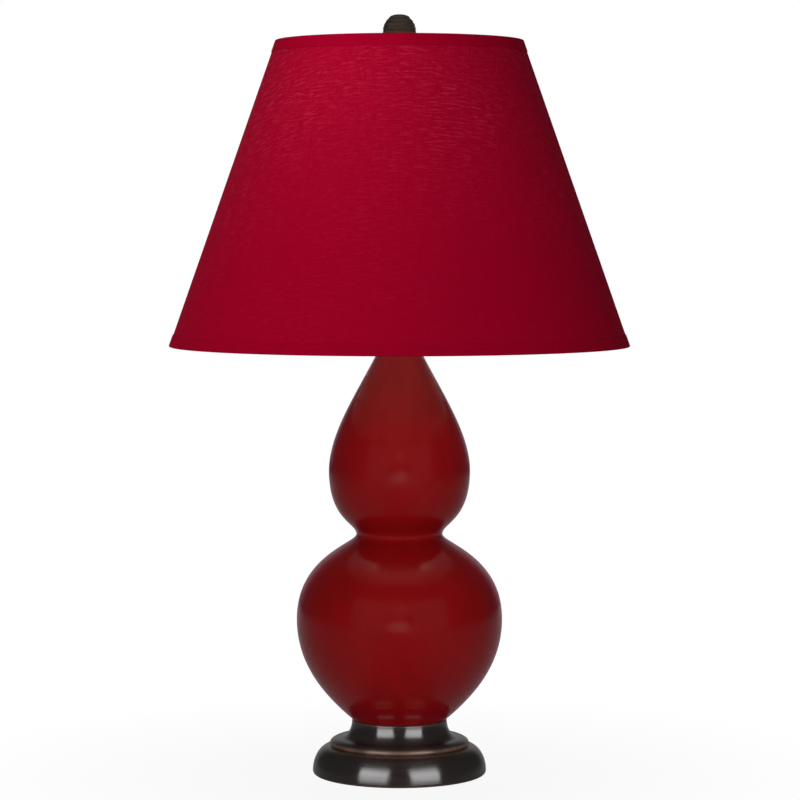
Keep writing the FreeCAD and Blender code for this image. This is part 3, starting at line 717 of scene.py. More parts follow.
@dataclass(frozen=True)
class Bronze(Finish):
    """Near-black bronze lacquer over turned metal, rubbed to copper brown on its raised lines."""

    dark: Colour = (0.0062, 0.0050, 0.0046)
    rubbed: Colour = (0.062, 0.034, 0.023)
    sheen: Colour = (1.0, 0.60, 0.40)
    roughness: float = 0.19
    rougher_in_bands: float = 0.06
    rougher_where_rubbed: float = 0.22
    haze: float = 0.05  # how far the bands lean towards the rubbed colour
    level: float = 0.7  # specular level
    drawn_out: float = 0.92  # anisotropy

    def make(self, shader: Shader) -> None:
        """Blend the rubbed colour in by the wear that is stored on the mesh, over fine turning lines.

        Args:
            shader: the material's shader.
        """
        block = shader.place(Spread.BLOCK)
        grain = shader.noise(block, 420.0, 4.0, 0.6)
        patches = shader.noise(block, 60.0, 4.0, 0.65, 0.4)
        fine = shader.noise(shader.place(Spread.BLOCK, (1.0, 1.0, 22.0)), 60.0, 3.0)
        broad = shader.noise(shader.place(Spread.BLOCK, (1.0, 1.0, 14.0)), 18.0, 3.0, 0.6)
        wear = shader.node("Attribute", attribute_name="wear").outputs["Fac"]
        broken = shader.combine("MULTIPLY", wear, shader.remap(patches, 0.35, 0.6, 0.5, 1.0))
        share = shader.combine("MAXIMUM", broken, shader.remap(broad, 0.42, 0.75, 0.0, self.haze))
        rough = shader.remap(broad, 0.35, 0.7, self.roughness, self.roughness + self.rougher_in_bands)
        shader.set(
            Base_Color=shader.blend(share, self.dark, self.rubbed),
            Roughness=shader.total((rough, 1), (share, self.rougher_where_rubbed)),
            Specular_Tint=shader.blend(share, (1.0, 1.0, 1.0), self.sheen),
            Tangent=shader.node("Tangent", direction_type="RADIAL", axis="Z").outputs["Tangent"],
        )
        shader.set(IOR=1.5, Specular_IOR_Level=self.level)
        shader.set(Anisotropic=self.drawn_out, Anisotropic_Rotation=0.25)
        shader.bump(shader.total((grain, 0.4), (fine, 1), (broad, 1)), 0.08, 0.0003)


@dataclass(frozen=True)
class Cloth(Finish):
    """Crimson cotton with a slub weave; the slubs carry a painted raking highlight. Its surface coordinates
    are metres on the flat cut.
    """

    deep: Colour = (0.222, 0.0001, 0.0114)
    # lighter slub threads, with a painted highlight on them as from raking light
    slub_and_highlight: Colour = (0.36, 0.0160, 0.0440)
    nap: Colour = (0.9, 0.12, 0.2)
    thread: float = 0.00045  # thread spacing
    relief: float = 0.00022  # how far the weave stands out
    slub: float = 1.0  # how strongly thick threads show
    painted_light_from: float = 0.33  # across the flat cut, where the slubs' painted highlight starts to fade
    painted_light_at: float = 0.46

    def make(self, shader: Shader) -> None:
        """Cross fine threads, then run sparse long slubs along the weft and fainter ones up the warp.

        Args:
            shader: the material's shader.
        """
        flat = shader.place(Spread.SURFACE)
        long_slub = shader.noise(shader.place(Spread.SURFACE, (92.0, 640.0, 1.0)), 1.0, 4.0, 0.60, 0.1)
        short_slub = shader.noise(shader.place(Spread.SURFACE, (240.0, 1100.0, 1.0)), 1.0, 3.0, 0.6)
        upright = shader.noise(shader.place(Spread.SURFACE, (900.0, 90.0, 1.0)), 1.0, 4.0, 0.6)
        patches = shader.noise(flat, 8.0, 3.0, 0.5)
        bands = 1.0 / (self.thread * FULL_TURN) * 0.5
        weave = shader.total((shader.wave(flat, bands, "X"), 1), (shader.wave(flat, bands, "Y"), 1))
        thick = shader.remap(long_slub, 0.50, 0.70, 0.0, self.slub)
        thick = shader.combine("MULTIPLY", thick, shader.remap(patches, 0.38, 0.60, 0.15, 1.0))
        thin = shader.remap(short_slub, 0.46, 0.78, 0.0, 0.45 * self.slub)
        cross = shader.remap(upright, 0.54, 0.80, 0.0, 0.35 * self.slub)
        across = shader.node("SeparateXYZ", {0: flat}).outputs["Y"]
        # Painted light: the slubs and their highlight colour show most near the shade's top and towards the
        # back seam, and fade lower down at the front.
        painted_light_share = shader.remap(across, self.painted_light_from, self.painted_light_at, 0.66, 0.14)
        share = shader.combine("MULTIPLY", shader.total((thick, 1), (thin, 1), (cross, 1)), painted_light_share)
        shader.set(Base_Color=shader.blend(share, self.deep, self.slub_and_highlight), Roughness=0.88)
        shader.set(Specular_IOR_Level=0.02, Sheen_Weight=0.03, Sheen_Roughness=0.45)
        shader.set(Sheen_Tint=(*self.nap, 1.0))
        shader.bump(shader.total((share, 1.6), (weave, 0.35)), 0.30, self.relief)


@dataclass(frozen=True)
class Styrene(Finish):
    """White plastic sheet with the faint show-through of the cloth laminated to it."""

    colour: Colour = (0.80, 0.76, 0.70)
    blush: Colour = (0.78, 0.58, 0.52)

    def make(self, shader: Shader) -> None:
        """Tint the white softly and give it a fine pebble.

        Args:
            shader: the material's shader.
        """
        block = shader.place(Spread.BLOCK)
        shader.tint(shader.noise(block, 14.0, 4.0), 0.35, 0.7, self.colour, self.blush, 0.35)
        shader.set(Roughness=shader.remap(shader.noise(block, 90.0), 0.3, 0.7, 0.42, 0.55))
        shader.bump(shader.noise(block, 900.0, 2.0), 0.12, 0.0001)


@dataclass(frozen=True)
class Metal(Finish):
    """A plain metal with a turned grain and slight tarnish."""

    colour: Colour = (0.62, 0.60, 0.56)
    tarnish: Colour = (0.40, 0.37, 0.32)
    roughness: float = 0.28

    def make(self, shader: Shader) -> None:
        """Stretch one noise into grain and use another for the tarnish.

        Args:
            shader: the material's shader.
        """
        lines = shader.noise(shader.place(Spread.BLOCK, (1.0, 1.0, 14.0)), 160.0, 3.0)
        cloud = shader.noise(shader.place(Spread.BLOCK), 70.0, 4.0, 0.6)
        shader.tint(cloud, 0.42, 0.72, self.colour, self.tarnish, 0.8)
        rough = shader.remap(lines, 0.3, 0.7, self.roughness - 0.05, self.roughness + 0.12)
        shader.set(Roughness=rough, Metallic=1.0)
        shader.bump(lines, 0.08, 0.0002)


@dataclass(frozen=True)
class Moulded(Finish):
    """Moulded plastic, rubber or dark glass with a little mottling and a pebbled skin."""

    colour: Colour = (0.02, 0.02, 0.02)
    fleck: Colour = (0.035, 0.033, 0.032)
    roughness: float = 0.4
    pebble: float = 0.1

    def make(self, shader: Shader) -> None:
        """Mottle, vary the gloss and pebble the skin.

        Args:
            shader: the material's shader.
        """
        block = shader.place(Spread.BLOCK)
        cloud = shader.noise(block, 240.0, 4.0, 0.6)
        shader.tint(cloud, 0.45, 0.7, self.colour, self.fleck)
        rough = shader.remap(cloud, 0.3, 0.7, self.roughness - 0.05, self.roughness + 0.08)
        shader.set(Roughness=rough)
        shader.bump(shader.noise(block, 1500.0, 2.0), self.pebble, 0.0002)


@dataclass(frozen=True)
class Fibre(Finish):
    """Felt or pressed fibre: matted hairs in several directions."""

    colour: Colour = (0.045, 0.035, 0.030)
    hair: Colour = (0.085, 0.068, 0.058)

    def make(self, shader: Shader) -> None:
        """Cross two stretched noises so that they read as matted hairs.

        Args:
            shader: the material's shader.
        """
        along, across = (
            shader.noise(shader.place(Spread.BLOCK, stretch), 420.0, 5.0, 0.7, 1.5)
            for stretch in ((1.0, 5.0, 1.0), (5.0, 1.0, 1.0))
        )
        mat = shader.combine("MAXIMUM", along, across)
        shader.tint(mat, 0.5, 0.75, self.colour, self.hair)
        shader.set(Roughness=0.95, Specular_IOR_Level=0.1, Sheen_Weight=0.15, Sheen_Roughness=0.6)
        shader.bump(mat, 0.6, 0.0005)


@dataclass(frozen=True)
class FrostedGlass(Finish):
    """Soft white bulb glass: a powder coat inside clear glass."""

    thin: Colour = (0.80, 0.79, 0.76)
    colour: Colour = (0.86, 0.85, 0.82)

    def make(self, shader: Shader) -> None:
        """White under a clear coat, with the powder's faint clouding.

        Args:
            shader: the material's shader.
        """
        cloud = shader.noise(shader.place(Spread.BLOCK), 55.0, 4.0)
        shader.tint(cloud, 0.3, 0.7, self.thin, self.colour)
        shader.set(Roughness=shader.remap(cloud, 0.3, 0.7, 0.38, 0.46))
        shader.set(Coat_Weight=0.6, Coat_Roughness=0.05)


GLAZE = Glaze("deep_red_glaze")
BRONZE = Bronze("dark_bronze")
DULL_BRONZE = Bronze(
    "dull_bronze", dark=(0.024, 0.018, 0.014), rubbed=(0.100, 0.076, 0.060), roughness=0.34
)
CLOTH = Cloth("crimson_cloth")
# The hem's cloth is smoother, and its colour a little darker than the cloth's as painted shade.
HEM_CLOTH = Cloth(
    "crimson_hem", deep=(0.214, 0.0001, 0.0110), slub_and_highlight=(0.27, 0.0040, 0.0200), slub=0.6
)
STYRENE = Styrene("white_styrene")
STEEL = Metal("plated_steel", colour=(0.66, 0.65, 0.62), tarnish=(0.50, 0.48, 0.44))
BRASS = Metal("polished_brass", colour=(0.80, 0.60, 0.29), tarnish=(0.58, 0.41, 0.19), roughness=0.2)
CAP_METAL = Metal(
    "rolled_aluminium", colour=(0.80, 0.79, 0.77), tarnish=(0.62, 0.61, 0.59), roughness=0.3
)
BLACK_PLASTIC = Moulded("black_plastic")
KNOB_BLACK = Moulded("glossy_black", roughness=0.16, pebble=0.03)
PHENOLIC = Moulded(
    "brown_phenolic", colour=(0.03, 0.021, 0.017), fleck=(0.06, 0.04, 0.03), roughness=0.24
)
RUBBER = Moulded("black_rubber", colour=(0.028, 0.028, 0.028), roughness=0.62, pebble=0.25)
DARK_GLASS = Moulded("black_glass", roughness=0.08, pebble=0.02)
FELT = Fibre("brown_felt")
LINER_FIBRE = Fibre("fibre_paper", colour=(0.26, 0.18, 0.11), hair=(0.36, 0.27, 0.18))
BULB_GLASS = FrostedGlass("soft_white_glass")


# ---------------------------------------------------------------- sub-assemblies


@dataclass
class CastBase:
    """The turned bronze base, on its felt, with the inlet at its back. Sizes in millimetres."""

    rim_lift: float = 0.5
    foot_radius: float = 67.5
    foot_round: float = 2.3
    dome_top: float = 22.2
    dome_top_radius: float = 53.8
    dome_edge: tuple[float, float] = (0.35, 0.15)
    notch_radius: float = 52.4
    notch_lift: float = 0.1
    bead_middle: tuple[float, float] = (45.15, 24.5)
    bead_reach: tuple[float, float] = (8.98, 4.19)
    cove_foot: tuple[float, float] = (46.0, 28.7)
    collar_radius: float = 36.9
    collar_top: float = 42.6
    collar_round: float = 0.6
    wall: float = 4.5
    pad_recess: float = 62.5
    pad_thick: float = 2.0
    pad_ledge: float = 5.0
    pad_soft: float = 0.5
    pad_waver: float = 0.25
    ring_recess: float = 31.0
    ring_sunk: float = 1.0
    ring_wide: float = 8.5
    ring_soft: float = 0.35
    rod_hole: float = 5.2
    deck_under: float = 38.5
    inlet_height: float = 9.0
    inlet_hole: tuple[float, float] = (4.6, 30.0)  # radius, and how far from the axis it starts
    inlet_seat: tuple[float, float] = (6.0, 64.0)
    past_rim: float = 90.0
    inlet_barrel: float = 4.5
    inlet_bore: float = 3.2
    inlet_flange: float = 1.8
    inlet_ribs: tuple[float, float] = (3.0, 6.0)

    def outline(self) -> Outline:
        """The casting's outline: foot, dome, bead and cove outside, then the recesses underneath."""
        side = Outline(self.pad_recess, self.rim_lift)
        side.corner(self.foot_radius, self.rim_lift, self.foot_round, False, 3, 12)
        side.quarter(self.dome_top_radius + self.dome_edge[0], self.dome_top, False, 56)
        side.quarter(self.dome_top_radius, self.dome_top - self.dome_edge[1], True, 3)
        side.line(self.notch_radius, self.dome_top + self.notch_lift, 2)
        self.add_bead(side)
        side.quarter(self.collar_radius, self.collar_top - self.collar_round, True, 40)
        side.quarter(self.collar_radius - self.collar_round, self.collar_top, False, 6)
        deck, inside = self.collar_top - self.ring_sunk, self.collar_radius - self.wall
        side.through(
            (self.ring_recess, self.collar_top),
            (self.ring_recess, deck),
            (self.rod_hole, deck),
            (self.rod_hole, self.deck_under),
            (inside, self.deck_under),
            (inside, self.cove_foot[1] - self.wall),
            (self.dome_top_radius - self.wall, self.dome_top - self.wall),
        )
        ledge = self.pad_recess - self.pad_ledge
        side.quarter(ledge, self.pad_thick + self.foot_round, True, 12)
        return side.through((ledge, self.pad_thick), (self.pad_recess, self.pad_thick)).close()

    def add_bead(self, side: Outline) -> None:
        """Add the bead: centre + (reach cos a, reach sin a) from the notch over the top to the cove.

        Args:
            side: the casting's outline, which has reached the notch.
        """
        centre, reach = np.array(self.bead_middle), np.array(self.bead_reach)
        start = -math.acos((self.notch_radius - centre[0]) / reach[0])
        end = math.acos((self.cove_foot[0] - centre[0]) / reach[0])
        angle = np.linspace(start, end, 30)[:, None]
        side.runs.append(centre + reach * np.hstack([np.cos(angle), np.sin(angle)]))

    def wear_along(self, points: np.ndarray) -> np.ndarray:
        """Wear on each point: bell curves, most exp(-((height - middle) / width)^2), beyond a radius.

        Args:
            points: array of radius and height, in metres.

        Returns:
            The wear, from 0 to 1.
        """
        radius, height = points.T / MM
        wear = 0.0
        for most, middle, width, beyond in (
            (1.0, 24.9, 1.5, self.notch_radius - 2),
            (0.55, self.collar_top, 0.9, 0.0),
            (0.45, self.dome_top, 0.7, 0.0),
            (0.6, 1.2, 0.9, self.pad_recess),
        ):
            wear = wear + most * np.exp(-(((height - middle) / width) ** 2)) * (radius > beyond)
        return np.clip(wear, 0, 1)

    def shell(self) -> None:
        """The casting: turned, worn on its raised lines, bored and faced for the inlet."""
        points, segments = self.outline().points, 224
        casting = Surface.turned(points, segments)
        casting.wear = np.repeat(self.wear_along(points), segments)
        shell = casting.piece("base_shell", 30)
        holes = (self.inlet_hole, self.inlet_seat)
        tools = [Surface.drill(*hole, self.past_rim, self.inlet_height) for hole in holes]
        carve(shell, *tools, sharp_degrees=30)
        dress(shell, BRONZE, Body.STAND, ("base_casting",))

    def felt(self) -> None:
        """The felt disc, its cut edge soft and slightly wavy: r - w (1 + sin(7t) sin(31t + 1)) / 2."""
        _, top, radius = reach("felt_pad")
        side = Outline(0, 0).corner(radius, 0, self.pad_soft, False, 4)
        side.corner(radius, top, self.pad_soft, True, 2).line(0, top, 4)
        disc = Surface.turned(side.points, 240)
        x, y, z = disc.vertices.T
        turn, out = np.arctan2(y, x), np.hypot(x, y) / (radius * MM)
        edge_only = np.clip(out - 0.9, 0, 0.1) * 10
        waver = self.pad_waver * MM * (1 + np.sin(7 * turn) * np.sin(31 * turn + 1.0)) / 2 * edge_only
        share = 1 - waver / (radius * MM)
        disc.vertices = np.stack([x * share, y * share, z], axis=1)
        dress(disc.piece("felt_sole", 60), FELT, Body.STAND, ("felt_pad",))

    def inlet(self) -> None:
        """The moulded inlet: a ribbed barrel through the wall, a rounded flange and a belled bore."""
        low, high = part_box("cord_bushing")
        inner, outer, flange = low.y / MM, high.y / MM, high.x / MM
        barrel, bore, face = self.inlet_barrel, self.inlet_bore, outer - self.inlet_flange
        side = Outline(bore, inner).through((barrel - 0.4, inner), (barrel, inner + 0.4))
        for rib in self.inlet_ribs:
            side.groove(inner + rib, 0.8, 0.3)
        side.line(barrel, face).corner(flange, face, 0.2, False, count=3)
        side.corner(flange, outer, 0.9, True, count=8)
        side.line(bore + 0.8, outer).quarter(bore, outer - 0.8, False, 8).close()
        piece = Surface.turned(side.points, 72).laid_back(self.inlet_height).piece("inlet_grommet")
        dress(piece, BLACK_PLASTIC, Body.STAND, ("cord_bushing",))

    def cushion_ring(self) -> None:
        """The rubber ring under the ceramic, its edges rounded."""
        low, high, outer = reach("seating_ring")
        inner, soft = outer - self.ring_wide, self.ring_soft
        side = Outline(inner + soft, low).corner(outer, low, soft, False, 3)
        side.corner(outer, high, soft, True).line(inner + soft, high, 3)
        side.quarter(inner, high - soft, True, 4).line(inner, low + soft)
        piece = Surface.turned(side.quarter(inner + soft, low, False, 4).points, 144).piece("rubber_ring")
        dress(piece, RUBBER, Body.STAND, ("seating_ring",))

    def build(self) -> None:
        """Make the casting and what is on and under it."""
        self.shell()
        self.felt()
        self.inlet()
        self.cushion_ring()


@dataclass
class Gourd:
    """The glazed double gourd. Sizes in millimetres, heights above its own foot."""

    foot: tuple[float, float] = (36.3, 0.0)
    foot_lean: float = 49.6
    foot_reach: float = 34.6
    belly: tuple[float, float] = (79.85, 78.5)
    belly_reach: tuple[float, float] = (31.7, 48.4)
    waist: tuple[float, float] = (33.4, 144.4)
    waist_reach: tuple[float, float] = (7.4, 8.9)
    bulb: tuple[float, float] = (54.7, 193.5)
    bulb_reach: tuple[float, float] = (38.2, 30.7)
    neck: tuple[float, float] = (14.9, 290.0)
    neck_lean: float = 25.9
    neck_reach: float = 38.1
    wall: float = 6.0
    floor: float = 7.0
    hole: float = 6.5
    foot_round: float = 0.9
    foot_rise: float = 0.6  # share of the rounding at which the wall starts

    def outline(self, lift: float) -> Outline:
        """The glazed outside from the floor's hole out, up and over the neck's rim, then down inside.

        Args:
            lift: the height of the gourd's foot.

        Returns:
            The closed outline.
        """
        lean, close = math.radians(self.foot_lean), math.radians(self.neck_lean)
        side = Outline(self.hole, lift + self.floor)
        side.line(self.hole, lift)
        side.line(self.foot[0] - self.foot_round, lift, 4)
        rise = self.foot_round * self.foot_rise
        side.quarter(self.foot[0] + rise * math.tan(lean), lift + rise, True, 5)
        pull_out = (self.foot_reach * math.sin(lean), self.foot_reach * math.cos(lean))
        for pull_in, (radius, height), count, leave in (
            (self.belly_reach[0], self.belly, 64, self.belly_reach[1]),
            (self.waist_reach[0], self.waist, 84, self.waist_reach[1]),
            (self.bulb_reach[0], self.bulb, 72, self.bulb_reach[1]),
        ):
            side.cubic(pull_out, (0, -pull_in), radius, lift + height, count)
            pull_out = (0, leave)
        pull_in = (self.neck_reach * math.sin(close), -self.neck_reach * math.cos(close))
        side.cubic(pull_out, pull_in, self.neck[0], lift + self.neck[1], 56)
        side.line(self.neck[0] - self.wall / math.cos(close), lift + self.neck[1])
        for pull_out, pull_in, (radius, height) in (
            ((18, -40), (0, 24), self.bulb),
            ((0, -32), (0, 12), self.waist),
            ((0, -12), (0, 40), self.belly),
        ):
            side.cubic(pull_out, pull_in, radius - self.wall, lift + height, 16)
        return side.cubic((0, -28), (20, 18), self.foot[0], lift + self.floor, 16).close()

    def build(self) -> None:
        """Turn the body and glaze it."""
        body = Surface.turned(self.outline(reach("gourd_body")[0]).points, 256)
        dress(body.piece("gourd", 50), GLAZE, Body.STAND, ("gourd_body",))


@dataclass
class NeckFittings:
    """The bronze cap, ring and tube on the gourd's neck. Sizes in millimetres."""

    bore: float = 5.2
    cap_wall: float = 0.9
    cap_drop: float = 2.3
    cap_round: float = 3.5
    cap_line: tuple[float, float, float] = (2.1, 0.7, 0.3)  # height, width and depth
    ring_round: float = 0.8
    tube_line: tuple[float, float, float] = (2.0, 0.8, 0.3)
    edge: float = 0.3

    def bored(self, side: Outline, high: float, count: int) -> Outline:
        """Run in along the top and round the edge down into the bore."""
        side.line(self.bore + self.edge, high, count)
        return side.quarter(self.bore, high - self.edge, False, 3).close()

    def cap(self) -> None:
        """The turned cap, its skirt over the neck's rim and a fine line cut round it."""
        low, high, rim = reach("vase_cap")
        seat, skirt, e = low + self.cap_drop, rim - self.cap_wall, self.edge
        height, width, depth = self.cap_line
        side = Outline(self.bore, seat).line(skirt, seat, 3).line(skirt, low + e)
        side.quarter(skirt + e, low, False, 3).corner(rim, low, e, False)
        side.groove(low + height, width, depth).corner(rim, high, self.cap_round, True, count=16)
        piece = Surface.worn(self.bored(side, high, 3).points, 160).piece("neck_cap")
        dress(piece, BRONZE, Body.STAND, ("vase_cap",))

    def ring(self) -> None:
        """The small ring, softly rounded above."""
        low, high, rim = reach("check_ring")
        side = Outline(self.bore, low).corner(rim, low, self.edge, False, 2)
        side.corner(rim, high, self.ring_round, True, count=8)
        piece = Surface.worn(self.bored(side, high, 2).points, 128).piece("neck_ring")
        dress(piece, BRONZE, Body.STAND, ("check_ring",))

    def tube(self) -> None:
        """The plain tube, with a fine line near each end."""
        low, high, rim = reach("neck_tube")
        inset, width, depth = self.tube_line
        side = Outline(self.bore, low).corner(rim, low, self.edge, False)
        side.groove(low + inset, width, depth).groove(high - inset, width, depth)
        side.corner(rim, high, self.edge, True).line(self.bore, high).close()
        piece = Surface.worn(side.points, 96).piece("neck_stem")
        dress(piece, BRONZE, Body.STAND, ("neck_tube",))

    def build(self) -> None:
        """Make the three turned parts."""
        self.cap()
        self.ring()
        self.tube()


@dataclass
class Harp:
    """The sprung wire bow, its seat for the shade and the two sleeves. Sizes in millimetres."""

    leg: float = 29.0
    half: float = 52.0
    wire: float = 1.7
    wire_end: float = 0.25
    lap: float = 10.0
    straight: float = 26.0
    to_widest: float = 67.0
    to_crown: float = 88.0
    crown_bend: float = 34.0
    crown_points: int = 18
    boss: float = 5.0
    boss_round: float = 0.5
    disc_thick: float = 1.5
    stud: float = 3.17
    stud_length: float = 13.5
    stud_chamfer: float = 0.6
    thread_pitch: float = 0.94
    thread_depth: float = 0.4
    sleeve_bore: float = 1.8
    sleeve_mouth: float = 0.2
    grips: tuple[float, ...] = (7.0, 5.2, 3.4)  # depths below the sleeve's top
    soft: float = 0.35

    @staticmethod
    def arc(x: float, z: float, radius: float, start: float, end: float, count: int) -> np.ndarray:
        """Points on an arc, all but its first: middle + radius (cos a, sin a), a in degrees."""
        angle = np.radians(np.linspace(start, end, count + 1)[1:])
        return np.stack([x + radius * np.cos(angle), z + radius * np.sin(angle)], axis=1)

    def half_path(self) -> np.ndarray:
        """The right half's centre line: leg, two reverse arcs, a side arc and half the crown."""
        foot = reach("harp_wire")[0]
        shoulder = foot + self.lap
        leg_top = shoulder + self.straight
        widest = leg_top + self.to_widest
        step, rise = (self.half - self.leg) / 2, self.to_widest / 2
        swing = (step**2 + rise**2) / (2 * step)
        reverse = math.degrees(math.asin(rise / swing))
        above = self.to_crown - self.crown_bend
        side = (self.half**2 + above**2 - self.crown_bend**2) / (2 * (self.half - self.crown_bend))
        lean = math.degrees(math.atan2(above, side - self.half))
        rounded_end = [foot, foot + 0.001, foot + self.wire_end]
        lapped = np.linspace(foot + 1, shoulder - 0.01, 8)
        heights = np.concatenate([rounded_end, lapped, np.linspace(shoulder, leg_top, 14)])
        return np.vstack(
            [
                np.stack([np.full_like(heights, self.leg), heights], axis=1),
                self.arc(self.leg + swing, leg_top, swing, 180, 180 - reverse, 18),
                self.arc(self.half - swing, widest, swing, -reverse, 0, 18),
                self.arc(self.half - side, widest, side, 0, lean, 24),
                self.arc(0, widest + above, self.crown_bend, lean, 90, self.crown_points),
            ]
        )

    @staticmethod
    def mirrored(right: np.ndarray) -> np.ndarray:
        """A half path followed by its mirror image, in metres: (x, z) goes to (x, 0, z) and (-x, 0, z)."""
        flat = np.vstack([right, (right * np.array([-1, 1]))[-2::-1]])
        return np.stack([flat[:, 0], 0 * flat[:, 0], flat[:, 1]], axis=1) * MM

    def bow(self) -> None:
        """The wire: a circle carried along the path, each foot cut to the rear half, y = max(y, 0)."""
        path = self.mirrored(self.half_path())
        radii = np.full(len(path), self.wire)
        radii[[0, 1, -2, -1]] = [0, self.wire - self.wire_end, self.wire - self.wire_end, 0]
        wire = Surface.swept(path, radii * MM, (0, 1, 0), 24)
        shoulder = (reach("harp_wire")[0] + self.lap - 0.005) * MM
        x, y, z = wire.vertices.T
        wire.vertices = np.stack([x, np.where(z < shoulder, np.maximum(y, 0), y), z], axis=1)
        dress(wire.piece("harp_bow"), BRASS, Body.STAND, ("harp_wire",))

    def seat(self) -> None:
        """The boss on the crown, notched for the wire, with its disc and threaded stud."""
        low, high, disc = reach("harp_seat")
        over = high - self.stud_length
        under = over - self.disc_thick
        side = Outline(0, low).corner(self.boss, low, self.boss_round, False, 3).line(self.boss, under, 3)
        side.corner(disc, under, self.soft, False, 3).corner(disc, over, self.soft, True)
        side.line(self.stud, over, 3).line(self.stud, high - self.stud_chamfer, 120)
        side.line(self.stud - self.stud_chamfer, high, 2).line(0, high, 2)
        thread = (self.thread_pitch, self.thread_depth, over + 1, high - 0.5, self.stud - 0.27)
        piece = Surface.turned(side.points, 64).threaded(*thread).piece("shade_seat")
        path = self.mirrored(self.half_path()[-self.crown_points :])
        radii = np.full(len(path), self.wire + 0.05)
        radii[[0, -1]] = 0
        carve(piece, Surface.swept(path, radii * MM, (0, 1, 0), 24))
        dress(piece, BRASS, Body.STAND, ("harp_seat",))

    def sleeve(self, name: str, node: str, side_sign: int, body: Body) -> None:
        """A loose brass sleeve with rounded ends and fine grooves for grip.

        Args:
            name: the new piece's name.
            node: the node that it stands for.
            side_sign: -1 for the left leg, +1 for the right one.
            body: the body that it rides on.
        """
        low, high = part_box(node)
        foot, top, outer = low.z / MM, high.z / MM, (high.x - low.x) / 2 / MM
        bore, mouth = self.sleeve_bore, self.sleeve_mouth
        side = Outline(bore, foot + mouth).quarter(bore + mouth, foot, False, 3)
        side.corner(outer, foot, self.soft, False)
        for depth in self.grips:
            side.groove(top - depth, 0.9, 0.28)
        side.corner(outer, top, self.soft, True)
        side.line(bore + mouth, top).quarter(bore, top - mouth, False, 3).close()
        tube = Surface.turned(side.points, 56).moved(x=side_sign * self.leg * MM)
        dress(tube.piece(name), BRASS, body, (node,))

    def build(self) -> None:
        """Make the bow, its seat and both sleeves."""
        self.bow()
        self.seat()
        self.sleeve("left_sleeve", "harp_sleeve_left", -1, Body.SLEEVE_LEFT)
        self.sleeve("right_sleeve", "harp_sleeve_right", 1, Body.SLEEVE_RIGHT)


